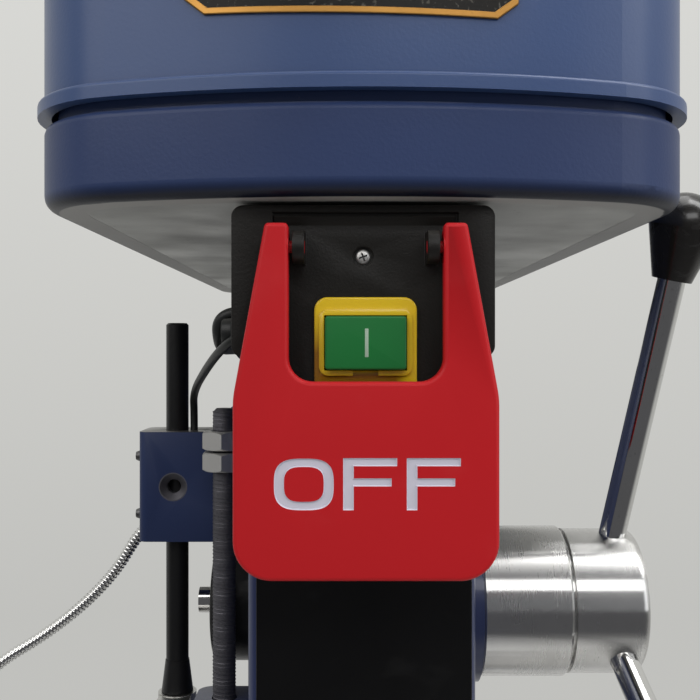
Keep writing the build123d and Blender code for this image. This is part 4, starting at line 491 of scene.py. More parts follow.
plasticRows = {
    "panelBlack": dict(
        colour=(0.0032, 0.0032, 0.0036), shade=(0.0045, 0.0045, 0.005), rough=0.34, grain=900.0,
        bump=0.06, worn=0.04, dust=0.1, specular=0.2),
    "switchPlastic": dict(
        colour=(0.0072, 0.0064, 0.0054), shade=(0.0105, 0.0095, 0.008), bump=0.6, depth=0.16,
        grain=1250.0, rough=0.44, specular=0.28),
    "knobPlastic": dict(rough=0.22, bump=0.05, worn=0.2, coat=0.3),
    "paddleRed": dict(
        colour=(0.43, 0.0085, 0.0125), shade=(0.405, 0.0078, 0.0115), rough=0.40, grain=900.0, bump=0.05,
        scuff=40.0, worn=0.05, wornColour=(0.55, 0.08, 0.08), dust=0.05, specular=0.2),
    "letterPaint": dict(
        colour=(0.56, 0.54, 0.62), shade=(0.50, 0.485, 0.56), rough=0.38, bump=0.04, worn=0.06,
        wornColour=(0.38, 0.30, 0.33), dust=0.0),
    "bezelYellow": dict(
        colour=(0.70, 0.49, 0.017), shade=(0.62, 0.38, 0.011), rough=0.16, bump=0.04, worn=0.12,
        wornColour=(0.40, 0.16, 0.02), dust=0.0, coat=0.4, amber=bezelRedReflection),
    "startGreen": dict(
        colour=(0.010, 0.140, 0.032), shade=(0.008, 0.100, 0.024), rough=0.30, bump=0.05, worn=0.08,
        wornColour=(0.02, 0.10, 0.03), dust=0.05, specular=0.3),
    "markWhite": dict(
        colour=(0.29, 0.385, 0.30), shade=(0.24, 0.33, 0.25), rough=0.45, bump=0.03, dust=0.0),
    "lampGlass": dict(
        colour=(0.66, 0.67, 0.66), shade=(0.58, 0.59, 0.58), rough=0.12, grain=500.0, bump=0.25,
        worn=0.03, dust=0.0, coat=0.6),
    "beltRubber": dict(
        colour=(0.012, 0.012, 0.012), shade=(0.022, 0.021, 0.020), rough=0.62, grain=1800.0, bump=0.4),
    "leadRubber": dict(
        colour=(0.009, 0.010, 0.010), shade=(0.013, 0.014, 0.014), rough=0.40, grain=2200.0, bump=0.15),
    # the light scuff specks over the plate's dark field are painted glints
    "plateField": dict(
        colour=(0.006, 0.005, 0.004), shade=(0.012, 0.011, 0.008), rough=0.34, grain=700.0, bump=0.35,
        depth=0.1, scuff=420.0, worn=0.6, wornColour=(0.20, 0.19, 0.16), dust=0.0, specular=0.2),
}
metalRows = {
    "plateAlloy": dict(
        colour=(0.56, 0.56, 0.55), shade=(0.44, 0.43, 0.42), rough=0.34, stretch=(60.0, 60.0, 2400.0)),
    "columnSteel": dict(
        colour=(0.54, 0.535, 0.525), stretch=(50.0, 50.0, 2200.0), rough=0.20, stained=0.25, dust=0.1),
    "turnedSteel": {},
    "chromePlate": dict(
        colour=(0.70, 0.70, 0.69), shade=(0.55, 0.54, 0.52), rough=0.055, stretch=(700.0, 60.0, 60.0),
        roughStain=0.05, roughLine=0.05, bump=0.05, depth=0.02, pitted=0.25, stained=0.35),
    "hubChrome": dict(
        colour=(0.66, 0.655, 0.645), shade=(0.54, 0.53, 0.51), rough=0.22, stretch=(1500.0, 40.0, 40.0),
        stain=34.0, stained=0.5, roughStain=0.04, roughLine=0.06, bump=0.1, depth=0.01, pitted=0.3,
        brushed=1.0),
    "nutSteel": dict(
        colour=(0.62, 0.615, 0.60), shade=(0.46, 0.45, 0.43), rough=0.40, stretch=(500.0, 500.0, 60.0)),
    "rodSteel": dict(colour=(0.15, 0.147, 0.165), shade=(0.10, 0.097, 0.105), rough=0.52, stained=0.6),
    "blackSteel": dict(
        colour=(0.13, 0.13, 0.135), shade=(0.08, 0.075, 0.07), rough=0.36, stained=0.6, dust=0.08),
    "panZinc": dict(
        colour=(0.36, 0.36, 0.35), shade=(0.24, 0.24, 0.23), rough=0.42, stretch=(30.0, 30.0, 30.0),
        stain=14.0, stained=0.8, roughStain=0.2, pitted=0.3),
    "tableIron": dict(ironTop, dust=0.10),
    "pulleyAlloy": dict(
        colour=(0.60, 0.60, 0.61), shade=(0.46, 0.46, 0.46), rough=0.30, stretch=(60.0, 60.0, 1500.0)),
    "borderGold": dict(
        colour=(0.47, 0.245, 0.065), shade=(0.28, 0.13, 0.03), rough=0.30, stretch=(200.0, 200.0, 60.0)),
}
blockPaint = dict(
    enamelBase, colour=(0.013, 0.024, 0.076), shade=(0.010, 0.018, 0.060), rough=0.46, coat=0.05,
    peel=1600.0, bump=0.22, depth=0.12, dust=0.0, chipping=0.4, specular=0.25)
clearRow = {
    "colour": (0.93, 0.95, 0.95), "rough": 0.04, "grain": 800.0, "scuff": 90.0, "bump": 0.03, "depth": 0.1,
}
bareAbove = {"base": 44.5 * mm, "block": 840.0 * mm}  # heights from which the tops are bare iron

finishes = {
    "baseEnamel": castTopFinish("baseEnamel", enamelBase, ironTop, bareAbove["base"]),
    "blockEnamel": castTopFinish("blockEnamel", blockPaint, ironTop, bareAbove["block"]),
    "guardClear": clearFinish("guardClear", clearRow),
}
for makeFinish, base, finishRows in (
    (enamelFinish, enamelBase, enamelRows),
    (plasticFinish, plasticBase, plasticRows),
    (metalFinish, metalBase, metalRows),
):
    for finishName, finishRow in finishRows.items():
        finishes[finishName] = makeFinish(finishName, {**base, **finishRow})

slotFinish = {
    "cover_blue": "coverEnamel", "casting_blue": "castEnamel", "black_plastic": "switchPlastic",
    "black_enamel": "blackEnamel", "red_plastic": "paddleRed", "yellow_plastic": "bezelYellow",
    "green_plastic": "startGreen", "black_knob": "knobPlastic", "bright_steel": "turnedSteel",
    "chrome": "chromePlate", "dark_steel": "blackSteel", "machined_iron": "tableIron",
    "motor_paint": "motorEnamel", "pulley_metal": "pulleyAlloy", "belt_rubber": "beltRubber",
    "lead_rubber": "leadRubber", "clear_plastic": "guardClear",
}
nodeFinish = {
    "belt_pan": "panEnamel", "base": "baseEnamel", "guard_block": "blockEnamel", "front_panel": "panelBlack",
    "column": "columnSteel", "quill": "columnSteel", "pan_floor": "panZinc", "depth_nuts": "nutSteel",
    "feed_hub": "hubChrome",
}
for nodeName, node in cadNodes.items():
    node.data.materials.clear()
    node.data.materials.append(finishes[nodeFinish.get(nodeName, slotFinish[slotOf[nodeName]])])
print("finishes made:", len(finishes))

# Mesh helpers

origin = (0.0, 0.0, 0.0)
axisUp = (0.0, 0.0, 1.0)
axisRight = (1.0, 0.0, 0.0)
axisLeft = (-1.0, 0.0, 0.0)
axisBack = (0.0, 1.0, 0.0)
axisFront = (0.0, -1.0, 0.0)
tubeSteps = {"along": 14, "round": 6}
edgeAngles = {"round": 35, "smooth": 40}
cornerSteps = 6
sharpestMitre = 0.3  # keeps a narrow corner from running far out
cadWeld = {"distance": 0.002, "degrees": 0.4}
plateSink = 0.4  # how far the bare plates reach into what they sit on


@contextlib.contextmanager
def reworked(mesh):
    bm = bmesh.new()
    bm.from_mesh(mesh)
    yield bm
    bm.to_mesh(mesh)
    bm.free()


def pieceFrom(name, mesh, *materials):
    piece = bpy.data.objects.new(name, mesh)
    scene.collection.objects.link(piece)
    for material in materials:
        mesh.materials.append(finishes[material])
    return piece


def meshPiece(name, verts, faces, *materials):
    # verts in millimetres
    mesh = bpy.data.meshes.new(name)
    mesh.from_pydata([Vector(v) * mm for v in verts], [], faces)
    with reworked(mesh) as bm:
        bmesh.ops.recalc_face_normals(bm, faces=bm.faces)
    return pieceFrom(name, mesh, *materials)


def settle(piece):
    # modifiers into the mesh itself
    graph = bpy.context.evaluated_depsgraph_get()
    mesh = bpy.data.meshes.new_from_object(piece.evaluated_get(graph), depsgraph=graph)
    if piece.type == "MESH":
        piece.modifiers.clear()
        piece.data = mesh
        return piece
    name = piece.name
    bpy.data.objects.remove(piece)
    solid = bpy.data.objects.new(name, mesh)
    scene.collection.objects.link(solid)
    return solid


def smoothBy(piece, degrees):
    with reworked(piece.data) as bm:
        for face in bm.faces:
            face.smooth = True
        for edge in bm.edges:
            edge.smooth = len(edge.link_faces) == 2 and edge.calc_face_angle(0.0) < math.radians(degrees)
    return piece


def roundEdges(piece, width, segments=2):
    bevel = piece.modifiers.new("edges", "BEVEL")
    bevel.width = width * mm
    bevel.segments = segments
    bevel.limit_method = "ANGLE"
    bevel.angle_limit = math.radians(edgeAngles["round"])
    settle(piece)
    return smoothBy(piece, edgeAngles["smooth"])


def cadCopy(nodeName, pieceName):
    bm = bmesh.new()
    bm.from_mesh(cadNodes[nodeName].data)
    angle = math.radians(cadWeld["degrees"])
    bmesh.ops.remove_doubles(bm, verts=bm.verts, dist=cadWeld["distance"] * mm)
    bmesh.ops.dissolve_limit(bm, angle_limit=angle, verts=bm.verts, edges=bm.edges)
    mesh = bpy.data.meshes.new(pieceName)
    bm.to_mesh(mesh)
    bm.free()
    mesh.materials.clear()
    return pieceFrom(pieceName, mesh, nodeFinish.get(nodeName, slotFinish[slotOf[nodeName]]))


def cut(piece, tool, operation="DIFFERENCE"):
    carve = piece.modifiers.new("carve", "BOOLEAN")
    carve.operation = operation
    carve.object = tool
    carve.solver = "EXACT"
    carve.material_mode = "TRANSFER"
    settle(piece)
    bpy.data.objects.remove(tool)
    return piece


def turned(name, profile, centre, direction, *materials, steps=40, ring=False):
    # profile: (radius, distance along the axis), from one end to the other, or all round for a ring
    turn = Vector(direction).to_track_quat("Z", "Y").to_matrix()
    verts, faces, rings = [], [], []
    for radius, along in profile:
        if radius <= 0.0:
            rings.append([len(verts)])
            verts.append(Vector(centre) + turn @ Vector((0.0, 0.0, along)))
            continue
        rings.append(list(range(len(verts), len(verts) + steps)))
        for k in range(steps):
            angle = math.tau * k / steps
            spot = Vector((radius * math.cos(angle), radius * math.sin(angle), along))
            verts.append(Vector(centre) + turn @ spot)
    for low, high in zip(rings, rings[1:] + rings[:1] if ring else rings[1:]):
        for k in range(steps):
            after = (k + 1) % steps
            if len(low) == 1:
                faces.append((low[0], high[after], high[k]))
            elif len(high) == 1:
                faces.append((low[k], low[after], high[0]))
            else:
                faces.append((low[k], low[after], high[after], high[k]))
    return meshPiece(name, verts, faces, *materials)


def offsetLoop(points, distance):
    # moves each side of a closed loop outwards by the distance, for a loop that turns left
    moved = []
    count = len(points)
    for k in range(count):
        before, here, after = (Vector(points[(k + d) % count]) for d in (-1, 0, 1))
        first = (here - before).normalized()
        second = (after - here).normalized()
        outFirst = Vector((first.y, -first.x))
        outSecond = Vector((second.y, -second.x))
        mitre = (outFirst + outSecond).normalized()
        moved.append(here + mitre * (distance / max(sharpestMitre, mitre.dot(outFirst))))
    return moved


def bandFaces(low, high, count):
    # from the loop that starts at low to the one that starts at high
    return [(low + k, low + (k + 1) % count, high + (k + 1) % count, high + k) for k in range(count)]


def loft(name, layers, place, *materials):
    # closed solid through loops of the same count; each layer is (loop, how far along place gives it)
    count = len(layers[0][0])
    verts = [place(x, z, depth) for loop, depth in layers for x, z in loop]
    faces = [tuple(range(count)), tuple(range(len(verts) - count, len(verts)))]
    for level in range(len(layers) - 1):
        faces += bandFaces(level * count, (level + 1) * count, count)
    return meshPiece(name, verts, faces, *materials)


def upright(x, y, z):
    return (x, y, z)


def frontPlace(face):
    return lambda x, z, depth: (x, face + depth, z)


def ringLoop(radius, count, start=0.0):
    turns = [math.radians(start + 360 * k / count) for k in range(count)]
    return [(radius * math.cos(turn), radius * math.sin(turn)) for turn in turns]


def roundedLoop(halfW, halfH, power, steps, centre):
    loop = []
    for k in range(steps):
        angle = math.tau * k / steps
        c, s = math.cos(angle), math.sin(angle)
        loop.append((centre[0] + halfW * math.copysign(abs(c) ** (2 / power), c),
                     centre[1] + halfH * math.copysign(abs(s) ** (2 / power), s)))
    return loop


def softRect(halfW, halfH, radius, centre):
    loop = []
    for right, up, start in ((1, 1, 0), (-1, 1, 90), (-1, -1, 180), (1, -1, 270)):
        for k in range(cornerSteps + 1):
            angle = math.radians(start + 90 * k / cornerSteps)
            loop.append((centre[0] + right * (halfW - radius) + radius * math.cos(angle),
                         centre[1] + up * (halfH - radius) + radius * math.sin(angle)))
    return loop


# Node trees for what repeats


def newTree(name, inputs):
    tree = bpy.data.node_groups.new(name, "GeometryNodeTree")
    for label, kind in [("Geometry", "Geometry"), *inputs, ("Finish", "Material")]:
        tree.interface.new_socket(name=label, in_out="INPUT", socket_type="NodeSocket" + kind)
    tree.interface.new_socket(name="Geometry", in_out="OUTPUT", socket_type="NodeSocketGeometry")
    return tree, tree.nodes.new("NodeGroupInput").outputs


def finishTree(tree, given, *shapes):
    # joins the shapes and gives them the finish
    whole = geo(tree, "JoinGeometry")
    for part in shapes:
        tree.links.new(part, whole.inputs[0])
    plain = shape(tree, "RealizeInstances", Geometry=whole.outputs[0])
    painted = shape(tree, "SetMaterial", Geometry=plain, Material=given["Finish"])
    tree.links.new(painted, tree.nodes.new("NodeGroupOutput").inputs["Geometry"])
    return tree


def makeRowTree():
    # one part on every point of the mesh
    tree, given = newTree("partsOnPoints", [("Part", "Object")])
    part = geo(tree, "ObjectInfo", Object=given["Part"]).outputs["Geometry"]
    return finishTree(tree, given, shape(tree, "InstanceOnPoints", Points=given["Geometry"], Instance=part))


def makeRingTree():
    # one part repeated round the Z axis; the part is made at its first place
    tree, given = newTree("partsRound", [("Part", "Object"), ("Count", "Int")])
    part = geo(tree, "ObjectInfo", Object=given["Part"]).outputs["Geometry"]
    points = shape(tree, "Points", Count=given["Count"])
    angle = times(tree, sums(tree, "DIVIDE", shape(tree, "InputIndex"), given["Count"]), math.tau)
    turn = put(tree, "CombineXYZ", Z=angle).outputs[0]
    placed = shape(tree, "InstanceOnPoints", Points=points, Instance=part, Rotation=turn)
    return finishTree(tree, given, placed)


def makeThreadTree():
    # a ridge wound round a core, standing on the origin
    labels = ("Length", "Core Radius", "Pitch", "Ridge", "Tip")
    tree, given = newTree("threadedRod", [(label, "Float") for label in labels])
    length, radius, pitch, ridge, tip = (given[label] for label in labels)

    def raised(solid, height):
        lift = put(tree, "CombineXYZ", Z=height).outputs[0]
        return shape(tree, "Transform", Geometry=solid, Translation=lift)

    turns = sums(tree, "DIVIDE", length, pitch)
    coil = shape(tree, "CurveSpiral", Resolution=28, Rotations=turns, Start_Radius=radius, End_Radius=radius,
                 Height=length)
    section = shape(tree, "CurvePrimitiveCircle", Resolution=4, Radius=ridge)
    wound = shape(tree, "CurveToMesh", Curve=coil, Profile_Curve=section)
    capped = {"fill_type": "NGON"}
    core = shape(tree, "MeshCylinder", capped, Vertices=40, Radius=radius, Depth=length)
    small = sums(tree, "SUBTRACT", radius, tip)
    cone = shape(tree, "MeshCone", capped, Vertices=40, Radius_Top=small, Radius_Bottom=radius, Depth=tip)
    return finishTree(tree, given, wound, raised(core, times(tree, length, 0.5)), raised(cone, length))


def makeHoseTree():
    # rings strung on a curve, over a plain core
    labels = ("Core Radius", "Ring", "Pitch")
    tree, given = newTree("ribbedNeck", [(label, "Float") for label in labels])
    radius, ring, pitch = (given[label] for label in labels)
    hoop = shape(tree, "CurvePrimitiveCircle", Resolution=20, Radius=radius)
    core = shape(tree, "CurveToMesh", Curve=given["Geometry"], Profile_Curve=hoop, Fill_Caps=True)
    spots = geo(tree, "CurveToPoints", {"mode": "LENGTH"}, Curve=given["Geometry"], Length=pitch).outputs
    bead = shape(tree, "CurvePrimitiveCircle", Resolution=6, Radius=ring)
    rib = shape(tree, "CurveToMesh", Curve=hoop, Profile_Curve=bead)
    strung = shape(tree, "InstanceOnPoints", Points=spots["Points"], Instance=rib, Rotation=spots["Rotation"])
    return finishTree(tree, given, core, strung)


trees = {"row": makeRowTree(), "ring": makeRingTree(), "thread": makeThreadTree(), "hose": makeHoseTree()}


def grow(host, treeName, **values):
    # runs a tree on the host and keeps the plain mesh
    tree = trees[treeName]
    modifier = host.modifiers.new(treeName, "NODES")
    sockets = {item.name: item.identifier for item in tree.interface.items_tree if item.in_out == "INPUT"}
    modifier.node_group = tree
    for key, value in values.items():
        modifier[sockets[key.replace("_", " ")]] = value
    return settle(host)


def partsAt(name, part, places, finish, smooth=35):
    host = meshPiece(name, places, [])
    grow(host, "row", Part=part, Finish=finishes[finish])
    bpy.data.objects.remove(part)
    return smoothBy(host, smooth)


def partsRound(name, part, count, centre, direction, finish, smooth=35):
    # the part stands on the Z axis' ring; the whole ring is then carried to its centre
    host = meshPiece(name, [origin], [])
    grow(host, "ring", Part=part, Count=count, Finish=finishes[finish])
    bpy.data.objects.remove(part)
    turn = Vector(direction).to_track_quat("Z", "Y").to_matrix().to_4x4()
    host.data.transform(Matrix.Translation(Vector(centre) * mm) @ turn)
    return smoothBy(host, smooth)


def splineRoute(name, points, steps):
    curve = bpy.data.curves.new(name, "CURVE")
    curve.dimensions = "3D"
    spline = curve.splines.new("NURBS")
    spline.points.add(len(points) - 1)
    for point, place in zip(spline.points, points):
        point.co = (*(Vector(place) * mm), 1.0)
    spline.order_u = 3
    spline.use_endpoint_u = True
    spline.resolution_u = steps
    route = bpy.data.objects.new(name, curve)
    scene.collection.objects.link(route)
    return route


def routeTube(name, points, diameter, finish):
    # one smooth tube on a spline with these control points
    route = splineRoute(name, points, tubeSteps["along"])
    route.data.bevel_depth = diameter / 2 * mm
    route.data.bevel_resolution = tubeSteps["round"]
    route.data.use_fill_caps = True
    piece = settle(route)
    piece.data.materials.clear()
    piece.data.materials.append(finishes[finish])
    return smoothBy(piece, degrees=50)


# Stop paddle: the solid's own shape, with the word cut into its face

paddleWord = {
    "floor": 0.75,  # depth of the letters
    "slope": 0.42,  # how far the sides lean out
    "over": 0.2,  # how far the tools stand out of the face
    "islandOver": 0.3,
    "ringCentre": (-19.7, 835.75),
    "ringOuter": (9.85, 8.5),
    "ringInner": (6.55, 5.75),
    "ringPower": 3.1,
    "ringSteps": 72,
    "stems": (-6.75, 14.2),
    "stemWidth": 3.5,
    "barWidth": 17.8,
    "midWidth": 15.95,
    "top": 844.4,
    "foot": 827.25,
    "barHeight": 2.65,
    "midTop": 837.75,
}


def letterLoops():
    w = paddleWord
    top, foot, bar, middle = w["top"], w["foot"], w["barHeight"], w["midTop"]
    loops = []
    for left in w["stems"]:
        right, mid, stem = left + w["barWidth"], left + w["midWidth"], left + w["stemWidth"]
        loops.append([
            (left, foot), (stem, foot), (stem, middle - bar), (mid, middle - bar), (mid, middle),
            (stem, middle), (stem, top - bar), (right, top - bar), (right, top), (left, top),
        ])
    return loops


def letterTool(name, loop, face, lean, over, floor):
    # crosses the paddle's face on the loop
    layers = [(offsetLoop(loop, lean), -abs(lean) - over), (loop, 0.0), (offsetLoop(loop, -lean), floor)]
    return loft(name, layers, frontPlace(face), "letterPaint")


def makePaddle():
    w = paddleWord
    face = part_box("stop_paddle")[0].y / mm
    paddle = cadCopy("stop_paddle", "stopPaddle")
    slope, over, floor = w["slope"], w["over"], w["floor"]
    for k, loop in enumerate(letterLoops()):
        cut(paddle, letterTool("letter" + str(k), loop, face, slope, over, floor))
    outer = roundedLoop(*w["ringOuter"], w["ringPower"], w["ringSteps"], w["ringCentre"])
    inner = roundedLoop(*w["ringInner"], w["ringPower"], w["ringSteps"], w["ringCentre"])
    bowl = letterTool("ringBowl", outer, face, slope, over, floor)
    island = letterTool("ringIsland", inner, face, -slope, w["islandOver"], floor + w["islandOver"])
    cut(bowl, island)
    cut(paddle, bowl)
    smoothBy(paddle, degrees=28)
    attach(paddle, "paddle")
    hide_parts("stop_paddle")


makePaddle()
print("paddle made")

# Switch: bar mark on the start button, screw in the box, softer edges

pushButtons = {"corner": 1.1, "edge": 0.8, "steps": 4}
startMark = {
    "centre": (1.1, 882.4), "width": 1.2, "height": 9.6, "corner": 0.15, "edge": 0.1, "proud": 0.05,
    "sink": 0.3,
}
boxScrew = {
    "centre": (0.0, 912.0), "seat": -302.6, "radius": 2.6, "rise": 1.5,
    "dome": [(0.0, 0.0), (1.0, 0.0), (1.0, 0.35), (0.94, 0.58), (0.78, 0.8), (0.5, 0.95), (0.0, 1.0)],
    "slot": 0.62, "slotLength": 1.8, "slotDepth": 0.9, "slotOver": 0.3, "slotTaper": (0.55, 0.7),
    "slotTurn": 0.35,
}
recessLedge = {
    "left": -30.4, "right": 31.2,
    "profile": [
        (-304.3, 922.4), (-304.9, 923.3), (-305.6, 924.7), (-305.9, 925.5), (-305.7, 925.9), (-304.3, 926.0)],
}
switchEdges = {"case": 0.7, "bezel": 0.35}


def makeButton(node, name, body, slot):
    s = pushButtons
    low, high = (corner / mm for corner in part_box(node))
    size, middle = high - low, (high + low) / 2
    loop = softRect(size.x / 2, size.z / 2, s["corner"], (middle.x, middle.z))
    layers = [(loop, size.y)]
    for k in range(s["steps"] + 1):
        angle = math.radians(90 * k / s["steps"])
        inwards = s["edge"] * (math.cos(angle) - 1)
        layers.append((offsetLoop(loop, inwards), s["edge"] * (1 - math.sin(angle))))
    button = loft(name, layers, frontPlace(low.y), slotFinish[slot])
    smoothBy(button, degrees=50)
    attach(button, body)
    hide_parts(node)


def makeSwitch():
    makeButton("start_button", "startButton", "start_button", "green_plastic")
    makeButton("stop_button", "stopButton", "stop_button", "red_plastic")
    s = startMark
    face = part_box("start_button")[0].y / mm
    loop = softRect(s["width"] / 2, s["height"] / 2, s["corner"], s["centre"])
    layers = [(offsetLoop(loop, -s["edge"]), -s["proud"]), (loop, 0.0), (loop, s["sink"])]
    mark = loft("startMark", layers, frontPlace(face), "markWhite")
    smoothBy(mark, degrees=30)
    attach(mark, "start_button")

    s = boxScrew
    x, z = s["centre"]
    head = [(s["radius"] * across, s["rise"] * up) for across, up in s["dome"]]
    screw = turned("boxScrew", head, (x, s["seat"], z), axisFront, "nutSteel")
    top = s["seat"] - s["rise"]
    length, half = s["slotLength"], s["slot"] / 2
    wide = [(-length, -half), (length, -half), (length, half), (-length, half)]
    narrow = [(along * s["slotTaper"][0], across * s["slotTaper"][1]) for along, across in wide]
    layers = [(wide, top - s["slotOver"]), (narrow, top + s["slotDepth"])]
    for turn in (s["slotTurn"], s["slotTurn"] + math.pi / 2):
        c, si = math.cos(turn), math.sin(turn)

        def slotPlace(along, across, depth):
            return (x + along * c - across * si, depth, z + along * si + across * c)

        cut(screw, loft("slotTool", layers, slotPlace, "blackSteel"))
    smoothBy(screw, degrees=32)
    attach(screw, "stand")

    s = recessLedge
    layers = [(s["profile"], s["left"]), (s["profile"], s["right"])]
    ledge = loft("recessLedge", layers, lambda y, z, x: (x, y, z), "switchPlastic")
    smoothBy(ledge, degrees=40)
    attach(ledge, "stand")

    box = roundEdges(cadCopy("switch_box", "switchCase"), switchEdges["case"], segments=3)
    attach(box, "stand")
    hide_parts("switch_box")

    bezel = roundEdges(cadCopy("switch_module", "switchBezel"), switchEdges["bezel"])
    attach(bezel, "stand")
    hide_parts("switch_module")


makeSwitch()
print("switch made")

# Front panel: the solid's own plate, with its sides where the photo has them and soft edges

frontPanel = {"leftIn": 1.1, "rightOut": 0.5, "edge": 0.5}


def makeFrontPanel():
    s = frontPanel
    panel = cadCopy("front_panel", "frontPanel")
    for vert in panel.data.vertices:
        vert.co.x += (s["leftIn"] if vert.co.x < 0.0 else s["rightOut"]) * mm
    roundEdges(panel, s["edge"])
    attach(panel, "stand")
    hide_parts("front_panel")


makeFrontPanel()
print("front panel made")

# Depth stop: threaded rod with its two chamfered nuts

depthThread = {"pitch": 1.5, "ridge": 0.26, "core": 4.72, "tip": 1.4}
depthNuts = {
    "flats": 17.0, "tall": 8.0, "crownShare": 0.96, "crownOver": 0.2, "chamfer": 1.12,
    "bore": 5.2, "mouth": 1.6, "mouthDeep": 0.6, "over": 1.0,
}


def makeDepthStop():
    s = depthThread
    low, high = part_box("depth_rod")
    length = high.z - low.z
    middle = (low + high) / 2
    rod = meshPiece("depthRod", [origin], [])
    grow(rod, "thread", Length=length - s["tip"] * mm, Core_Radius=s["core"] * mm, Pitch=s["pitch"] * mm,
         Ridge=s["ridge"] * mm, Tip=s["tip"] * mm, Finish=finishes["rodSteel"])
    rod.data.transform(Matrix.Translation((middle.x, middle.y, low.z)))
    smoothBy(rod, degrees=30)
    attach(rod, "quill")
    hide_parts("depth_rod")

    s = depthNuts
    low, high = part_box("depth_nuts")
    middle = (low + high) / 2 / mm
    corner, half = s["flats"] / math.sqrt(3.0), s["tall"] / 2
    hexagon = ringLoop(corner, 6, start=30)
    nut = loft("depthNut", [(hexagon, -half), (hexagon, half)], upright)
    flat, wide, slope = s["flats"] / 2 * s["crownShare"], corner + s["crownOver"], half - s["chamfer"]
    crown = [(0.0, -half), (flat, -half), (wide, -slope), (wide, slope), (flat, half), (0.0, half)]
    cut(nut, turned("nutCrown", crown, origin, axisUp, steps=60), "INTERSECT")
    bore, mouth = s["bore"], s["bore"] + s["mouth"]
    inside, past = half - s["mouthDeep"], half + s["over"]
    hole = [(0.0, -past), (mouth, -past), (bore, -inside), (bore, inside), (mouth, past), (0.0, past)]
    cut(nut, turned("nutBore", hole, origin, axisUp))
    places = [(middle.x, middle.y, low.z / mm + half), (middle.x, middle.y, high.z / mm - half)]
    nuts = partsAt("depthNuts", nut, places, "nutSteel", smooth=30)
    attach(nuts, "nuts")
    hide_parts("depth_nuts")


makeDepthStop()
print("depth stop made")

# Belt cover: bare plate in a gold border, knob on its right side

coverPlate = {
    "centreX": -4.3, "halfWidth": 55.6, "foot": 990.15, "top": 1036.15, "tilt": -0.020,
    "corner": (7.0, 5.4), "cornerIn": (0.45, 0.4),  # the corner's legs and how they shrink with the inset
    "border": 2.1, "thick": 0.9, "edge": 0.25, "edgeShare": 0.7, "fieldThick": 0.5, "fieldShare": 0.5,
    "arcRadius": 300.0, "lip": 2.0,  # the lip stands this far before the wall
    "steps": 40, "longSide": 30.0,
}
coverKnob = {
    "seat": (119.6, -120.0, 1008.0),
    "profile": [
        (0.0, 0.0), (6.0, 0.0), (6.0, 4.5), (7.2, 6.8), (10.2, 9.2), (11.8, 12.2), (11.9, 15.0),
        (10.8, 17.4), (8.4, 18.7), (4.0, 19.2), (0.0, 19.3)],
}


def coverFace(x, z, depth):
    # on the cover's bowed front; depth is counted outwards
    radius = coverPlate["arcRadius"]
    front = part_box("belt_cover")[0].y / mm
    y = front + coverPlate["lip"] + radius - math.sqrt(radius * radius - x * x)
    return (x, y - depth, z + coverPlate["tilt"] * (x - coverPlate["centreX"]))


def plateOutline(inset):
    s = coverPlate
    cx, cz = (size - inset * share for size, share in zip(s["corner"], s["cornerIn"]))
    left, right = s["centreX"] - s["halfWidth"] + inset, s["centreX"] + s["halfWidth"] - inset
    foot, top = s["foot"] + inset, s["top"] - inset
    corners = [
        (left + cx, foot), (right - cx, foot), (right, foot + cz), (right, top - cz),
        (right - cx, top), (left + cx, top), (left, top - cz), (left, foot + cz),
    ]
    loop = []
    for here, after in zip(corners, corners[1:] + corners[:1]):
        parts = s["steps"] if abs(after[0] - here[0]) > s["longSide"] else 2
        for j in range(parts):
            loop.append(tuple(a + (b - a) * j / parts for a, b in zip(here, after)))
    return loop


def stripGrid(name, loop, face, depth, finish):
    # plate made of columns that follow the bow
    xs = sorted({round(x, 4) for x, z in loop})
    near = 1e-6

    def reach(x):
        zs = []
        for (x0, z0), (x1, z1) in zip(loop, loop[1:] + loop[:1]):
            if min(x0, x1) - near <= x <= max(x0, x1) + near:
                steep = abs(x1 - x0) < near
                zs += [z0, z1] if steep else [z0 + (z1 - z0) * ((x - x0) / (x1 - x0))]
        return min(zs), max(zs)

    verts, faces = [], []
    for x in xs:
        for z in reach(x):
            verts += [face(x, z, depth), face(x, z, -plateSink)]
    for k in range(len(xs) - 1):
        a, b = 4 * k, 4 * (k + 1)
        faces += [(a, b, b + 2, a + 2), (a + 1, a + 3, b + 3, b + 1)]
        faces += [(a, a + 1, b + 1, b), (a + 2, b + 2, b + 3, a + 3)]
    last = 4 * (len(xs) - 1)
    faces += [(0, 2, 3, 1), (last, last + 1, last + 3, last + 2)]
    return meshPiece(name, verts, faces, finish)


def makeCoverPlate():
    s = coverPlate
    outer, inner = plateOutline(0.0), plateOutline(s["border"])
    count = len(outer)
    edge, thick, side = s["edge"], s["thick"], s["thick"] * s["edgeShare"]
    rings = [
        (outer, -plateSink), (outer, side), (plateOutline(edge), thick),
        (plateOutline(s["border"] - edge), thick), (inner, side), (inner, -plateSink),
    ]
    verts = [coverFace(x, z, depth) for loop, depth in rings for x, z in loop]
    faces = []
    for level in range(len(rings)):
        faces += bandFaces(level * count, (level + 1) % len(rings) * count, count)
    border = meshPiece("plateBorder", verts, faces, "borderGold")
    smoothBy(border, degrees=25)
    fieldLoop = plateOutline(s["border"] * s["fieldShare"])
    field = stripGrid("plateField", fieldLoop, coverFace, s["fieldThick"], "plateField")
    smoothBy(field, degrees=25)
    for piece in (border, field):
        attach(piece, "cover")
    s = coverKnob
    knob = turned("coverKnob", s["profile"], s["seat"], axisRight, "knobPlastic")
    smoothBy(knob, degrees=40)
    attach(knob, "cover")


makeCoverPlate()
print("cover plate made")

# Belt pan: sheet under the floor, flush with the pan's foot

panSole = {"play": 0.05}


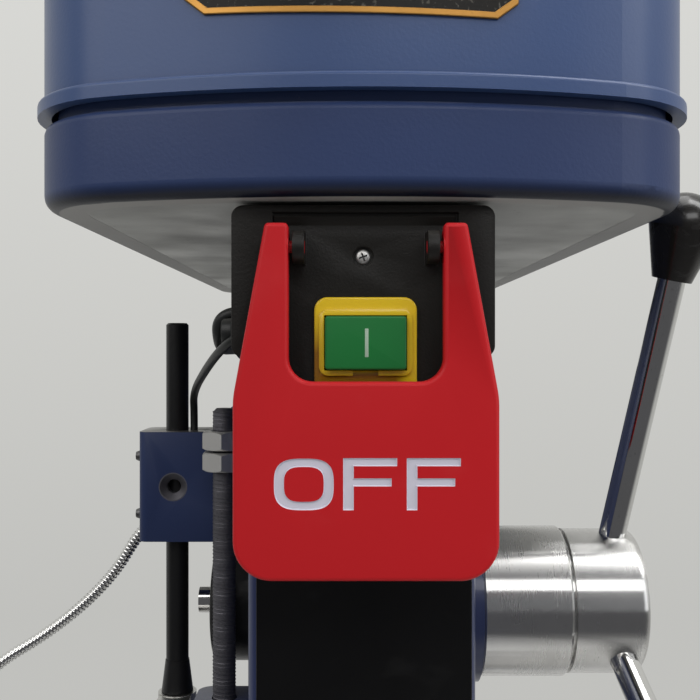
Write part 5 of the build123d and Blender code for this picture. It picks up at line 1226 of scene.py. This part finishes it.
def makePanSole():
    s = panSole
    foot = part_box("belt_pan")[0].z + s["play"] * mm
    low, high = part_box("pan_floor")
    thick = low.z - s["play"] * mm - foot
    sole = cadCopy("pan_floor", "panSole")
    for vert in sole.data.vertices:
        vert.co.z = foot + thick * (vert.co.z - low.z) / (high.z - low.z)
    cut(sole, cadCopy("belt_pan", "panTool"))
    smoothBy(sole, degrees=30)
    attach(sole, "stand")


makePanSole()
print("pan sole made")

# Guard block: set screws, bare countersink, bare top

guardScrews = {
    "places": [(-97.0, -203.0, 832.7), (-97.0, -203.0, 807.0)], "radius": 2.3, "rise": 3.0, "sink": 2.0,
    "taper": (0.8, 0.6),  # share of the radius left at the end, share of the rise where the taper starts
    "socket": 1.25, "socketOver": 0.2,
}
clampSink = {
    "centre": (-81.7, 820.25),
    "profile": [
        (6.25, -0.02), (6.25, 0.06), (5.9, 0.06), (3.25, 2.66), (3.25, 9.0), (3.05, 9.0), (3.05, 2.6),
        (5.75, -0.02)],
}
blockEdge = 0.6


def makeGuardBlock():
    s = guardScrews
    r, rise, (tip, onset) = s["radius"], s["rise"], s["taper"]
    profile = [(0.0, -s["sink"]), (r, -s["sink"]), (r, rise * onset), (r * tip, rise), (0.0, rise)]
    grub = turned("grub", profile, origin, axisLeft, steps=28)
    hexagon = ringLoop(s["socket"], 6)
    layers = [(hexagon, -rise - s["socketOver"]), (hexagon, s["socketOver"])]
    cut(grub, loft("grubTool", layers, lambda y, z, x: (x, y, z)))
    screws = partsAt("guardScrews", grub, s["places"], "blackSteel")
    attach(screws, "stand")

    s = clampSink
    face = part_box("guard_block")[0].y / mm
    centre = (s["centre"][0], face, s["centre"][1])
    liner = turned("clampSink", s["profile"], centre, axisBack, "rodSteel", ring=True)
    smoothBy(liner, degrees=30)
    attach(liner, "stand")

    block = roundEdges(cadCopy("guard_block", "guardBlock"), blockEdge)
    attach(block, "stand")
    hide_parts("guard_block")


makeGuardBlock()
print("guard block made")

# Lamp: ribbed neck and lens

lampNeck = {
    "start": (-90.0, -186.0, 805.0),
    "route": [
        (0, 0, 0), (0, 15, 0), (-15, 16, -11), (-29, 16, -35), (-56, 14, -59), (-88, 8, -77), (-103, 0, -107),
        (-88, -7, -135)],
    "core": 2.35, "ring": 0.55, "pitch": 1.9, "steps": 16,
}
lampLens = {
    "end": (-178.0, -193.0, 670.0), "aim": (15.0, -7.0, -28.0), "length": 46.0, "radius": 14.3, "sink": 3.1,
    "edge": 0.4, "dome": 2.4, "steps": 6,
}


def makeLamp():
    s = lampNeck
    points = [Vector(s["start"]) + Vector(step) for step in s["route"]]
    route = splineRoute("lampNeck", points, s["steps"])
    neck = grow(route, "hose", Core_Radius=s["core"] * mm, Ring=s["ring"] * mm, Pitch=s["pitch"] * mm,
                Finish=finishes["chromePlate"])
    smoothBy(neck, degrees=60)
    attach(neck, "stand")
    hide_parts("lamp_neck")

    s = lampLens
    aim = Vector(s["aim"]).normalized()
    seat = Vector(s["end"]) + aim * (s["length"] - s["sink"])
    bow = [math.radians(90 * k / s["steps"]) for k in range(s["steps"])]
    profile = [(0.0, 0.0), (s["radius"], 0.0)]
    profile += [(s["radius"] * math.cos(a), s["edge"] + s["dome"] * math.sin(a)) for a in bow]
    profile += [(0.0, s["edge"] + s["dome"])]
    lens = turned("lampLens", profile, seat, aim, "lampGlass", steps=48)
    smoothBy(lens, degrees=50)
    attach(lens, "stand")


makeLamp()
print("lamp made")

# Leads, held between the box, the gland and the guard block

leadRoutes = {  # diameter and the spline's points
    "motorLead": (4.6, [
        (-44.0, -284.5, 893.5), (-52.7, -284.5, 893.5), (-52.7, -279.5, 880.5), (-52.7, -240.0, 880.5),
        (-52.7, -175.5, 880.5)]),
    "guardLead": (3.3, [
        (-44.0, -297.0, 884.5), (-48.8, -296.0, 881.5), (-58.0, -272.0, 874.0), (-72.5, -216.0, 862.0),
        (-74.2, -203.0, 852.0), (-74.2, -203.0, 844.0)]),
}
leadBush = {
    "centre": (-44.5, -288.5, 886.6),
    "profile": [
        (0.0, -1.0), (6.2, -1.0), (6.2, 1.4), (5.6, 2.2), (4.9, 2.4), (4.6, 5.2), (4.0, 6.0), (0.0, 6.2)],
}


def makeLeads():
    for name, (diameter, points) in leadRoutes.items():
        lead = routeTube(name, points, diameter, "leadRubber")
        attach(lead, "stand")
        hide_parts("switch_leads")
    s = leadBush
    bush = turned("leadBush", s["profile"], s["centre"], axisLeft, "leadRubber")
    smoothBy(bush, degrees=40)
    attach(bush, "stand")


makeLeads()
print("leads made")

# Chuck sleeve: flutes all round for the hand

sleeveFlutes = {
    "count": 60, "radius": 27.85, "rise": 0.55, "halfWidth": 0.85, "foot": 549.0, "top": 575.0, "lean": 0.8,
}


def makeSleeveFlutes():
    s = sleeveFlutes
    middle = sum(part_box("chuck_sleeve"), Vector()) / 2 / mm
    r, out, w = s["radius"], s["radius"] + s["rise"], s["halfWidth"]
    foot, top, lean = s["foot"], s["top"], s["lean"]
    verts = [(r, -w, foot), (r, w, foot), (r, w, top), (r, -w, top)]
    verts += [(out, 0.0, foot + lean), (out, 0.0, top - lean)]
    faces = [(0, 1, 2, 3), (0, 4, 5, 3), (1, 2, 5, 4), (0, 1, 4), (3, 5, 2)]
    flute = meshPiece("sleeveFlute", verts, faces)
    centre = (middle.x, middle.y, 0.0)
    flutes = partsRound("sleeveFlutes", flute, s["count"], centre, axisUp, "chromePlate", smooth=20)
    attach(flutes, "sleeve")


makeSleeveFlutes()
print("chuck sleeve made")

# Column flange: washers under its bolts

flangeWashers = {
    "radius": 12.0, "thick": 1.6, "edge": 0.5, "edgeShare": 0.7, "circle": 142.0, "count": 4, "boltHead": 8.0,
}


def makeFlangeWashers():
    s = flangeWashers
    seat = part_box("flange_bolts")[1].z / mm - s["boltHead"]
    r, thick = s["radius"], s["thick"]
    profile = [(0.0, 0.0), (r, 0.0), (r, thick * s["edgeShare"]), (r - s["edge"], thick), (0.0, thick)]
    disc = turned("flangeWasher", profile, origin, axisUp, steps=32)
    turns = [math.tau * (k + 0.5) / s["count"] for k in range(s["count"])]
    places = [(s["circle"] / 2 * math.cos(a), s["circle"] / 2 * math.sin(a), seat) for a in turns]
    washers = partsAt("flangeWashers", disc, places, "nutSteel", smooth=30)
    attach(washers, "stand")


makeFlangeWashers()
print("flange washers made")

# Table tilt: plain ticks round the rim of the bracket's disc

tiltTicks = {
    "count": 72, "axisZ": 338.0, "radius": 36.9, "rise": 0.22, "halfWidth": 0.28, "back": -160.9,
    "length": 5.0,
}


def makeTiltTicks():
    s = tiltTicks
    r, out, w = s["radius"], s["radius"] + s["rise"], s["halfWidth"]
    section = [(r, -w), (out, -w), (out, w), (r, w)]
    tick = loft("tiltTick", [(section, -s["length"]), (section, 0.0)], upright)
    centre = (0.0, s["back"], s["axisZ"])
    ticks = partsRound("tiltTicks", tick, s["count"], centre, axisBack, "markWhite", smooth=20)
    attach(ticks, "bracket")


makeTiltTicks()
print("tilt ticks made")

# Motor: bare plate with four rivets, bent round the fins

motorPlate = {
    "axisY": 185.0, "radius": 71.2, "halfWidth": 31.0, "foot": 792.0, "top": 836.0, "thick": 0.8,
    "corner": 3.0, "columns": 24, "rivetRadius": 1.7, "rivetRise": 0.9, "rivetSink": 0.8, "rivetIn": 4.5,
    "rivetDome": [(1.0, 0.3), (0.75, 0.8), (0.0, 1.0)],  # shares of the rivet's radius and rise
}


def motorFace(x, z, depth):
    s = motorPlate
    angle = x / s["radius"]
    reach = s["radius"] + depth
    return (-reach * math.sin(angle), s["axisY"] + reach * math.cos(angle), z)


def makeMotorPlate():
    s = motorPlate
    w, foot, top, c = s["halfWidth"], s["foot"], s["top"], s["corner"]
    flat = [-w + c + (2 * w - 2 * c) * k / s["columns"] for k in range(s["columns"] + 1)]
    loop = [(x, foot) for x in flat] + [(w, foot + c), (w, top - c)]
    loop += [(x, top) for x in reversed(flat)] + [(-w, top - c), (-w, foot + c)]
    plate = stripGrid("motorBarePlate", loop, motorFace, s["thick"], "plateAlloy")
    smoothBy(plate, degrees=25)
    r, rise = s["rivetRadius"], s["rivetRise"]
    profile = [(0.0, -s["rivetSink"]), (r, -s["rivetSink"])]
    profile += [(r * across, rise * up) for across, up in s["rivetDome"]]
    dome = turned("plateRivet", profile, origin, axisBack, steps=20)
    inset = s["rivetIn"]
    spots = [(x, z) for x in (inset - w, w - inset) for z in (foot + inset, top - inset)]
    places = [motorFace(x, z, s["thick"]) for x, z in spots]
    rivets = partsAt("plateRivets", dome, places, "nutSteel", smooth=50)
    for piece in (plate, rivets):
        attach(piece, "motor")


makeMotorPlate()
print("motor plate made")
